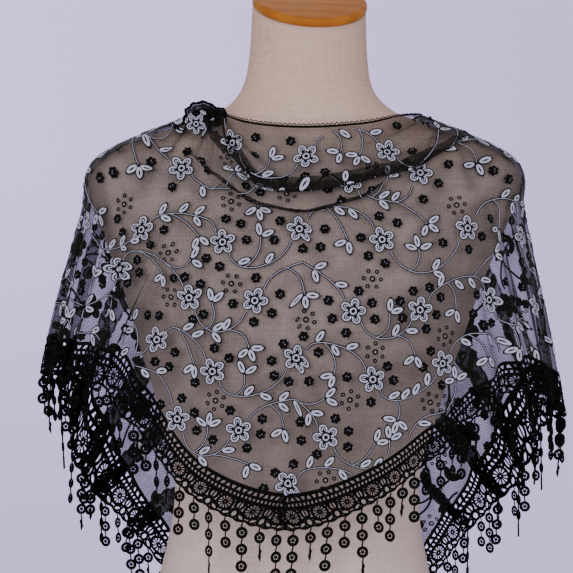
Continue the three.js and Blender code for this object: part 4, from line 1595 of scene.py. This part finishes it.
    def place_copies(self, pattern: Pattern, places: Array) -> Array:
        """Lay copies of a pattern on the hanging cloth, undistorted.

        Args:
            pattern: The pattern.
            places: Across, down and turn of each copy.

        Returns:
            Points as copies by points by 3, in metres.
        """
        step = 1.0
        middle, turns = places[:, :2], places[:, 2]
        ahead = [self.drape.lay(middle + way) - self.drape.lay(middle - way) for way in ((step, 0), (0, step))]
        slopes = np.stack(ahead, axis=2) / (2 * step * MM)
        metric = np.einsum("nki,nkj->nij", slopes, slopes)
        values, vectors = np.linalg.eigh(metric)
        shrink = np.clip(values, 0.35, 2.5) ** -0.5
        undo = np.einsum("nik,nk,njk->nij", vectors, shrink, vectors)
        offsets = np.einsum("nij,npj->npi", undo, turned(pattern.points[:, :2], turns))
        flat = middle[:, None, :] + offsets
        lift = np.broadcast_to(pattern.points[None, :, 2], flat.shape[:2])
        return self.drape.lay(flat.reshape(-1, 2), lift.ravel()).reshape(*flat.shape[:2], 3)

    def vine_spans(self, width: float, crown: float, lift: float) -> tuple[Pattern, Array]:
        """Sweep a ribbon along every vine, in short spans that stop at the net's edges.

        Args:
            width: The ribbon's width.
            crown: How far its middle is raised.
            lift: Height of its edges.

        Returns:
            The span's pattern and its copies' points.
        """
        pattern = Pattern()
        steps = self.span_steps
        straight = np.stack([np.linspace(0, steps * self.span_step, steps + 1), np.zeros(steps + 1)], axis=1)
        pattern.sweep(straight, 1.0, 1.0)
        pattern.finish()
        spans = []
        for path in self.vines:
            lengths = travelled(path)
            count = max(1, round(lengths[-1] / (steps * self.span_step)))
            even = np.linspace(0, lengths[-1], count * steps + 1)
            flat = np.stack([np.interp(even, lengths, path[:, axis]) for axis in (0, 1)], axis=1)
            inside = (self.drape.above_hem(flat) > self.vine_above_hem) & (flat[:, 1] > 2.0)
            points = self.drape.lay(flat) / MM
            raised = self.drape.lay(flat, 1.0) / MM
            normal = raised - points
            side = unit(np.cross(np.gradient(points, axis=0), normal))
            for span in range(count):
                at = slice(span * steps, (span + 1) * steps + 1)
                if inside[at].all():
                    spans.append(np.concatenate([points[at], normal[at], side[at]], axis=1))
        along = np.rint(pattern.points[:, 0] / self.span_step).astype(int)
        across, up = pattern.points[:, 1], pattern.points[:, 2]
        rows = np.array(spans)[:, along]
        placed = rows[..., :3] + rows[..., 3:6] * (lift + crown * up)[None, :, None]
        return pattern, (placed + rows[..., 6:9] * (across * width)[None, :, None]) * MM


def bezier(start: Array, first: Array, second: Array, end: Array, steps: int = 24) -> Array:
    """Give places along a cubic Bezier curve."""
    t = np.linspace(0, 1, steps + 1)[:, None]
    return ((1 - t) ** 3 * start + 3 * (1 - t) ** 2 * t * first + 3 * (1 - t) * t ** 2 * second + t ** 3 * end)


@dataclass
class Edging(ShawlPart):
    """Guipure braid on the two short sides: heading, two rows of holes, sunburst rosettes, ovals and loops."""

    repeat: float = 27.0
    reach: float = 862.0
    thick: float = 1.1
    cords: Table = table("depth width", [
        [1.1, 4.2],
        [7.4, 3.1],
        [12.2, 2.8],
    ])
    ladders: Table = table("bars top bottom lean swing width", [
        [5, 1, 8, 0, 1.3, 3.1],
        [7, 7.4, 12.4, -0.6, 0, 2.4],
    ])
    rings: Table = table("off depth length width turn steps cord", [
        [0, 20.2, 7.1, 7.1, 0, 20, 2.9],
        [0, 20.2, 1.6, 1.6, 0, 8, 2.6],
        [-13.5, 18.2, 4.6, 3.7, 90, 14, 3],
        [-13.5, 27, 3.9, 3.2, 90, 12, 2.8],
        [-6.1, 28.5, 3.8, 2.2, 28, 12, 2.4],
        [6.1, 28.5, 3.8, 2.2, -28, 12, 2.4],
    ])
    struts: Table = table("near near_depth far far_depth width", [
        [13.5, 12, 5, 14.5, 2.6],
        [13.5, 23, 6, 24.4, 2.6],
        [10.4, 13, 7, 18, 2.1],
    ])
    rays: int = 12
    ray_span: Pair = (1.8, 7.2)
    ray_widths: Pair = (1.0, 2.1)
    seam_bar: Triple = (13.0, 23.0, 1.8)
    lower_cord: Triple = (31.2, 0.9, 2.6)

    def build(self) -> list[Piece]:
        """Build the left and right braid and return them."""
        pattern = self.braid_pattern()
        along, depth, lift = pattern.copies_along(np.arange(round(self.reach / self.repeat)) * self.repeat)
        made = []
        for side, word in ((-1, "left"), (1, "right")):
            flat = self.drape.braid_place(side * np.maximum(along.ravel(), 0.01), depth.ravel())
            placed = self.drape.lay(flat, lift.ravel() + 1.0 * (side > 0)).reshape(*along.shape, 3)
            braid = joined_piece(f"{word}_braid", self.finishes.lace, [(pattern, placed)])
            if side < 0:
                braid.data.flip_normals()
            made.append(settle(braid, "guipure", *side_nodes(word, "edging")))
        return made

    def bar(self, pattern: Pattern, start: Pair, end: Pair, width: float) -> None:
        """Add a short bar with pointed ends, which its neighbours hide."""
        stops = np.array([0.0, 0.12, 0.88, 1.0])[:, None]
        path = np.array(start) + (np.array(end) - np.array(start)) * stops
        pattern.sweep(path, np.array([0.2, 1.0, 1.0, 0.2]) * width, self.thick, sides=3)

    def braid_pattern(self) -> Pattern:
        """Make one repeat, from its seam down to its lower cord."""
        pattern, size = Pattern(), self.repeat
        middle = 0.5 * size
        for depth, width in self.cords.values:
            across = np.linspace(0, size, 7)
            pattern.sweep(np.stack([across, np.full_like(across, depth)], axis=1), width, self.thick, sides=3)
        for bars, top, bottom, lean, swing, width in self.ladders.values:
            for number in range(int(bars)):
                x, off = (number + 0.5) * size / bars, lean + swing * (-1) ** number
                self.bar(pattern, (x - off, top), (x + off, bottom), width)
        for off, depth, length, width, turn, steps, cord in self.rings.values:
            ring = arc((middle + off, depth), (length, width), int(steps), turn=turn)
            pattern.sweep(ring, cord, self.thick, sides=3)
        sun = np.array([middle, self.rings.column("depth")[0]])
        for turn in np.arange(self.rays) * 2 * math.pi / self.rays:
            ray = sun + np.outer(self.ray_span, heading(turn))
            pattern.sweep(ray, np.array(self.ray_widths), self.thick * 0.8, sides=3)
        top, bottom, width = self.seam_bar
        self.bar(pattern, (0, top), (0, bottom), width)
        for way, row in itertools.product((-1, 1), self.struts.values):
            near, near_depth, far, far_depth, width = row
            self.bar(pattern, (middle + way * near, near_depth), (middle + way * far, far_depth), width)
        depth, swing, width = self.lower_cord
        lower = np.linspace(0, size, 13)
        wave = depth - swing * np.cos(4 * math.pi * lower / size)
        pattern.sweep(np.stack([lower, wave], axis=1), width, self.thick, sides=3)
        return pattern.finish()


@dataclass
class Fringe(ShawlPart):
    """Strands of thread discs and drops that hang from the braid's lower cord."""

    pitch: float = 17.0
    reach: float = 856.0
    first_disc: float = 10.0
    disc_pitch: float = 15.3
    disc_radius: float = 5.5
    disc_hole: float = 2.5
    disc_thick: float = 2.2
    knot: Triple = (0.9, 1.6, 1.9)
    spokes: int = 5
    spoke_span: Pair = (1.5, 3.4)
    drop_radius: float = 5.0
    overlap: float = 0.8
    cord_width: float = 1.5
    strands: tuple[str, ...] = ("ooo", "od", "ooo", "oo", "oood", "oo")
    sway: float = 0.75
    lean: float = 0.07
    seed: int = 5

    def build(self) -> list[Piece]:
        """Build the left and right fringe and return them."""
        random = np.random.default_rng(self.seed)
        patterns = [self.strand_pattern(kinds) for kinds in self.strands]
        count = int(self.reach / self.pitch)
        made = []
        for side, word in ((-1, "left"), (1, "right")):
            order = np.arange(count)
            rib = self.drape.rib_at_hem(side * (order + 0.5) * self.pitch)
            down = self.drape.on_edging(rib, self.drape.edging_depth - 0.6)
            root = self.drape.sample(rib, down)
            beside = self.drape.sample(rib + 0.02, down) - self.drape.sample(rib - 0.02, down)
            facing = np.arctan2(beside[:, 1], beside[:, 0]) + random.uniform(-self.sway, self.sway, count)
            lean = random.uniform(-self.lean, self.lean, (count, 2))
            copies = []
            for kind, pattern in enumerate(patterns):
                chosen = order[order % len(patterns) == kind]
                copies.append((pattern, self.hang(pattern, root[chosen], facing[chosen], lean[chosen])))
            fringe = joined_piece(f"{word}_disc_fringe", self.finishes.lace, copies)
            made.append(settle(fringe, "guipure", *side_nodes(word, "fringe")))
        return made

    def hang(self, pattern: Pattern, root: Array, facing: Array, lean: Array) -> Array:
        """Hang copies of a strand straight down from their roots.

        Args:
            pattern: The strand.
            root: Where each copy hangs from, in metres.
            facing: Direction of each copy's width, as an angle about the upright.
            lean: How far each copy leans across and outwards, for each unit that it falls.

        Returns:
            Points as copies by points by 3, in metres.
        """
        across, below, out = (pattern.points * MM).T
        along = np.stack([np.cos(facing), np.sin(facing), np.zeros_like(facing)], axis=1)
        away = np.stack([along[:, 1], -along[:, 0], np.zeros_like(facing)], axis=1)
        side = across[None, :] + below[None, :] * lean[:, :1]
        front = out[None, :] + below[None, :] * lean[:, 1:]
        fall = np.array([0, 0, -1])
        return (root[:, None, :] + side[..., None] * along[:, None, :] + front[..., None] * away[:, None, :]
                + below[None, :, None] * fall)

    def strand_pattern(self, kinds: str) -> Pattern:
        """Make one strand, hanging from its top.

        Args:
            kinds: Its beads from the top, o for a disc and d for a long drop.
        """
        pattern = Pattern()
        at, last = self.first_disc, 0.0
        for kind in kinds:
            add, radius = (self.disc, self.disc_radius) if kind == "o" else (self.drop, self.drop_radius)
            self.cord(pattern, last, at - radius + self.overlap)
            add(pattern, at)
            last = at + radius - self.overlap
            at += self.disc_pitch
        return pattern.finish()

    def cord(self, pattern: Pattern, start: float, end: float) -> None:
        """Add a slightly crooked thread between two beads."""
        below = np.linspace(start, end, 4)
        path = np.stack([np.array([0, 0.35, -0.3, 0]), below], axis=1)
        pattern.sweep(path, self.cord_width, self.cord_width, sides=4)

    def disc(self, pattern: Pattern, at: float) -> None:
        """Add a thread disc: a thick ring, spokes and a knot."""
        middle = 0.5 * (self.disc_radius + self.disc_hole)
        ring = arc((0, at), (middle, middle), 14, 90, 450)
        pattern.sweep(ring, self.disc_radius - self.disc_hole, self.disc_thick, sides=4)
        radius, width, thick = self.knot
        pattern.sweep(arc((0, at), (radius, radius), 7, 90, 450), width, thick, sides=4)
        for turn in np.arange(self.spokes) * 2 * math.pi / self.spokes + 0.4:
            pattern.sweep((0, at) + np.outer(self.spoke_span, heading(turn)), 1.1, 0.9, sides=3)

    def drop(self, pattern: Pattern, at: float) -> None:
        """Add a long drop with pointed ends, bound in the middle."""
        below = at + np.linspace(-6.0, 6.5, 8)
        path = np.stack([np.array([0, 0.2, 0.5, 0.1, -0.3, -0.2, 0.1, 0]), below], axis=1)
        pattern.sweep(path, np.array([1.0, 2.2, 3.3, 2.2, 3.0, 2.8, 1.6, 0.4]), 1.9, sides=4)


@dataclass
class Binding(ShawlPart):
    """Rolled dark binding on the long edge, with a fine picot."""

    pitch: float = 4.5
    reach: float = 742.0
    off: float = 1.2
    thick: float = 2.0
    picot_off: float = 1.2
    picot_radii: Pair = (1.7, 1.4)
    rib_spacing: float = 60.0
    corrections: int = 8
    least_depth: float = 12.0
    highest: float = -0.035

    def build(self) -> Piece:
        """Build the binding and return it."""
        pattern = Pattern()
        across = np.linspace(0, self.pitch, 4)
        pattern.sweep(np.stack([across, np.full(4, -self.off)], axis=1), self.thick, self.thick, sides=4)
        picot = arc((0.5 * self.pitch, -self.off - self.picot_off), self.picot_radii, 5, 180, 360)
        pattern.sweep(picot, 1.0, 1.0, sides=3)
        pattern.finish()
        starts = -self.reach + self.pitch * np.arange(int(2 * self.reach / self.pitch))
        across, down, lift = pattern.copies_along(starts)
        ribs = np.arange(-self.drape.middle_rib, self.drape.middle_rib + 1)
        rib = np.interp(across.ravel(), self.drape.ribs.column("flat"), ribs)
        for _ in range(self.corrections):
            rib = rib + (across.ravel() - self.drape.rib_row(rib)["flat"]) / self.rib_spacing
        share = np.maximum(down.ravel() / np.maximum(self.drape.depth_at(rib), self.least_depth), self.highest)
        placed = self.drape.sample(rib, share, lift.ravel()).reshape(*across.shape, 3)
        binding = joined_piece("rolled_binding", self.finishes.lace, [(pattern, placed)])
        return settle(binding, "guipure", *(f"{part}_binding" for part in STRETCHES))


@dataclass(frozen=True)
class Shell:
    """One fold of the gathered hood: its share of the outline, its shift, how far forward it is, and its rim."""

    share: float
    shift: Pair
    forward: float
    rim: float


@dataclass
class Gather(ShawlPart):
    """The long edge drawn up left of the neck into a small round hood, with a flower on its front."""

    middle: Triple = (-92.6, -47.0, 649.0)
    across: Triple = (1.0, -0.3, 0.0)
    up: Triple = (0.0, -0.15, 1.0)
    outline: Table = table("across up", [
        [-19.5, 0], [-20.3, 7.5], [-19.3, 13], [-16, 17.6], [-10, 20.8], [-3, 22], [4, 20.6],
        [9, 17.4], [12.5, 15.8], [16, 16], [19, 14], [20.2, 10], [20, 5], [19, 0],
    ])
    shells: tuple[Shell, ...] = (
        Shell(1.0, (0.0, 0.0), 0.0, 2.8),
        Shell(0.88, (0.4, 0.0), 2.2, 1.3),
        Shell(0.72, (1.6, -0.4), 4.4, 1.2),
        Shell(0.5, (6.0, -1.0), 7.0, 1.8),
    )
    pleats: int = 9
    pleat_depth: float = 1.1
    scallop: float = 0.03
    roll: float = 4.0
    pinch: float = 0.1
    rim_waves: int = 24
    rim_swing: float = 0.14
    steps: int = 96
    rows: int = 8
    motifs: tuple[tuple[float, float, float, float, float], ...] = (
        (-5.4, 2.6, 0.3, 0.8, 15.0), (-15.5, 8.5, 1.9, 0.5, 10.0), (-11.0, 12.5, 2.3, 0.5, 10.0),
        (-3.0, 14.6, 0.5, 0.6, 11.0), (3.0, 13.6, 2.6, 0.6, 11.5), (11.5, 8.0, 2.2, 0.55, 13.0),
    )
    tucks: Table = table("rib_start down_start rib_end down_end width", [
        [-3.5, 0, -3.15, 0.13, 0.10],
        [-3.2, 0, -2.6, 0.1, 0.07],
        [-2.7, 0, -2, 0.085, 0.07],
    ])
    tuck_layers: int = 3
    tuck_narrows: Pair = (0.8, 0.2)
    tuck_lift: Triple = (0.6, 1.2, 1.1)

    def build(self) -> list[Piece]:
        """Build the hood, its rims, its tucks and its embroidery, and return them."""
        self.right, self.rise = unit(np.array(self.across)), unit(np.array(self.up))
        self.front = unit(np.cross(self.right, self.rise))
        parts = []
        for number, shell in enumerate(self.shells):
            fold = grid_piece(f"gathered_hood_{number + 1}", self.finishes.gathered, self.steps, self.rows)
            turn, reach = points_of(fold)[:, :2].T
            move_points(fold, self.place(shell, turn, self.pinch + (1 - self.pinch) * reach))
            add_uv(fold, Coordinates.FLAT, points_of(fold)[:, [0, 2]])
            parts.append(settle(fold, "net", *(["left_gather"] if number == 0 else [])))
        for number in range(len(self.tucks.values) * self.tuck_layers):
            parts.append(settle(self.tuck(number), "net"))
        sewn = Embroidery(self.drape, self.finishes)
        kinds = [sewn.flower_patterns()] + [sewn.leaf_patterns()] * (len(self.motifs) - 1)
        layers = (("stitches", self.finishes.white), ("grounds", self.finishes.black))
        for layer, (word, material) in enumerate(layers):
            copies = [(kind[layer], self.stitch(kind[layer], spot)) for kind, spot in zip(kinds, self.motifs)]
            parts.append(settle(joined_piece(f"gathered_hood_{word}", material, copies), "embroidery"))
        rim = joined_piece("gathered_hood_rim", self.finishes.lace, self.rims())
        rim.data.flip_normals()
        parts.append(settle(rim, "guipure"))
        return parts

    def place(self, shell: Shell, turn: Array, reach: Array) -> Array:
        """Place points of a fold of the hood, in metres.

        Args:
            shell: The fold.
            turn: Share of the way round the outline, from its left foot over its top.
            reach: Share of the way from the pinch to the rim.
        """
        rim = self.outline.spline(np.asarray(turn) * (len(self.outline.values) - 1))
        wave = np.cos(2 * math.pi * self.pleats * np.asarray(turn) + 9 * shell.share)
        flat = rim * (shell.share * reach * (1 + self.scallop * wave))[:, None] + shell.shift
        off = shell.forward + self.roll * reach ** 2 + self.pleat_depth * wave * reach
        return self.at(flat, off[:, None])

    def at(self, flat: Array, forward: Array) -> Array:
        """Turn places across and up from the hood's middle, and how far forward they lie, into metres."""
        place = self.right * flat[:, :1] + self.rise * flat[:, 1:] + self.front * forward
        return (np.array(self.middle) + place) * MM

    def tuck(self, number: int) -> Piece:
        """Lay one layer of a tuck, a narrow doubled strip of net that runs down from the gather.

        Args:
            number: Its number, counting every layer of every tuck.
        """
        row, layer = divmod(number, self.tuck_layers)
        rib_start, down_start, rib_end, down_end, width = self.tucks.values[row]
        strip = grid_piece(f"tuck_{row + 1}_{layer + 1}", self.finishes.tulle, 6, 24)
        across, along = points_of(strip)[:, :2].T
        (by_length, by_layer), (base, height, step) = self.tuck_narrows, self.tuck_lift
        narrow = (1 - by_length * along) * (1 - by_layer * layer)
        rib = rib_start + (rib_end - rib_start) * along + width * narrow * 2 * (across - 0.5)
        down = down_start + (down_end - down_start) * along
        lift = (height + step * layer) * (1 - along) * np.cos(math.pi * (across - 0.5)) + base
        move_points(strip, self.drape.sample(rib, down, lift))
        add_uv(strip, Coordinates.FLAT, self.drape.flat(rib, down) * MM)
        return strip

    def stitch(self, pattern: Pattern, spot: tuple[float, ...]) -> Array:
        """Place a motif on the hood's front.

        Args:
            pattern: The motif.
            spot: Its place across and up from the hood's middle, its turn, its size and how far forward it lies.

        Returns:
            Its points, as one copy by points by 3, in metres.
        """
        across, up, turn, size, forward = spot
        flat = turned(pattern.points[:, :2], np.array([turn]))[0] * (size, -size)
        return self.at(flat + (across, up), pattern.points[:, 2:] + forward)[None]

    def rims(self) -> list[tuple[Pattern, Array]]:
        """Roll a dark rim round each fold of the hood."""
        cord = Pattern()
        steps = 3 * self.steps
        cord.sweep(np.stack([np.linspace(0, steps, steps + 1), np.zeros(steps + 1)], axis=1), 1.0, 1.0, sides=5)
        cord.finish()
        turn = cord.points[:, 0] / steps
        wave = 1 + self.rim_swing * np.sin(turn * 2 * math.pi * self.rim_waves)
        rims = []
        for shell in self.shells:
            middle = self.place(shell, turn, np.ones_like(turn))
            outwards = unit(middle - self.place(shell, turn, np.full_like(turn, 0.9)))
            round_cord = outwards * cord.points[:, 1:2] + self.front * cord.points[:, 2:]
            rims.append(middle + round_cord * (shell.rim * wave)[:, None] * MM)
        return [(cord, np.array(rims))]


# Studio


@dataclass
class Studio:
    """Floor, soft light and camera."""

    aim: Vector = Vector((-0.0178, 0.0, 0.4954))
    distance: float = 2.4
    elevation: float = 2.0
    view_width: float = 0.550
    sensor_width: float = 36.0
    floor_radius: float = 1.5
    floor_fades_from: float = 0.5
    upper_left: Triple = (1.13, 0.905, 1.64)
    upper_right: Triple = (0.88, 0.75, 1.28)
    lower: Triple = (0.83, 0.705, 1.17)
    sideways: Pair = (-0.13, 0.13)
    upwards: Pair = (-0.14, 0.02)
    ambient: Triple = (0.80, 0.77, 0.82)
    ambient_strength: float = 0.78
    lamps_aim: Triple = (0, 0, 0.5)
    lamps: tuple[tuple[str, Triple, float, float], ...] = (
        ("key_light", (-0.6, -2.55, 0.8), 37, 1.2),
        ("fill_light", (1.5, -2.2, 0.6), 15, 1.8),
        ("back_light", (-0.6, 2.2, 1.9), 10, 1.6),
    )

    def build(self) -> None:
        """Place the stage, the lights and the camera."""
        self.floor()
        self.world()
        self.lights()
        self.camera()

    def floor(self) -> None:
        """Lay a round pale floor that fades into the background at its rim."""
        mesh = bmesh.new()
        bmesh.ops.create_circle(mesh, cap_ends=True, segments=96, radius=self.floor_radius)
        made = Shader.material("studio_floor")
        place = Coordinates.OBJECT.read(made)
        reach = made.node("VectorMath", {0: place}, operation="LENGTH").outputs["Value"]
        pale = made.surface({"Alpha": made.ramp(reach, self.floor_fades_from, self.floor_radius - 0.05, 1.0, 0.0),
                             "Base Color": (0.60, 0.59, 0.66, 1), "Roughness": 0.9})
        piece_from(mesh, "floor", pale)

    def world(self) -> None:
        """Make the pale background, with painted light that is lighter towards the upper left and darker below,
        and an even soft light.
        """
        world = bpy.data.worlds.new("studio")
        world.use_nodes = True
        made = Shader(world.node_tree)
        parts = made.parts(made.node("TexCoord").outputs["Generated"])
        # Painted light: the backdrop that the camera sees is a painted gradient, lighter towards the upper left
        # and darker at the bottom, apart from the even light that the world gives.
        upper = made.mix(made.ramp(parts["X"], *self.sideways, 0, 1), self.upper_left, self.upper_right)
        backdrop_light = made.mix(made.ramp(parts["Z"], *self.upwards, 0, 1), self.lower, upper)
        seen = made.node("Background", {"Color": backdrop_light})
        light = world.node_tree.nodes["Background"]
        light.inputs["Color"].default_value = (*self.ambient, 1)
        light.inputs["Strength"].default_value = self.ambient_strength
        camera_ray = made.node("LightPath").outputs["Is Camera Ray"]
        mixed = made.node("MixShader", {0: camera_ray, 1: light.outputs[0], 2: seen.outputs[0]})
        made.feed(world.node_tree.nodes["World Output"].inputs["Surface"], mixed.outputs[0])
        bpy.context.scene.world = world

    def lights(self) -> None:
        """Hang large soft lamps."""
        for name, place, power, size in self.lamps:
            lamp = bpy.data.lights.new(name, "AREA")
            lamp.energy, lamp.size = power, size
            light = new_object(name, lamp)
            light.location = place
            towards = Vector(self.lamps_aim) - Vector(place)
            light.rotation_euler = towards.to_track_quat("-Z", "Y").to_euler()

    def camera(self) -> None:
        """Aim the camera as the photo does."""
        data = bpy.data.cameras.new("camera")
        data.sensor_width = self.sensor_width
        data.lens = self.sensor_width * self.distance / self.view_width
        camera = new_object("camera", data)
        tilt = math.radians(self.elevation)
        away = Vector((0, -math.cos(tilt), math.sin(tilt))) * self.distance
        camera.location = self.aim + away
        camera.rotation_euler = (-away).to_track_quat("-Z", "Y").to_euler()
        bpy.context.scene.camera = camera


def main() -> None:
    """Build the shawl, the form under it and the studio."""
    logging.basicConfig(level=logging.INFO, format="%(message)s")
    form = FormShape()
    drape = Drape(form)
    finishes = Finishes.make()
    Studio().build()
    DressForm(form, finishes).build()
    net = Net(drape, finishes).build()
    trims = [*Embroidery(drape, finishes).build(), *Edging(drape, finishes).build(),
             *Fringe(drape, finishes).build(), Binding(drape, finishes).build(), *Gather(drape, finishes).build()]


if __name__ == "__main__":
    main()
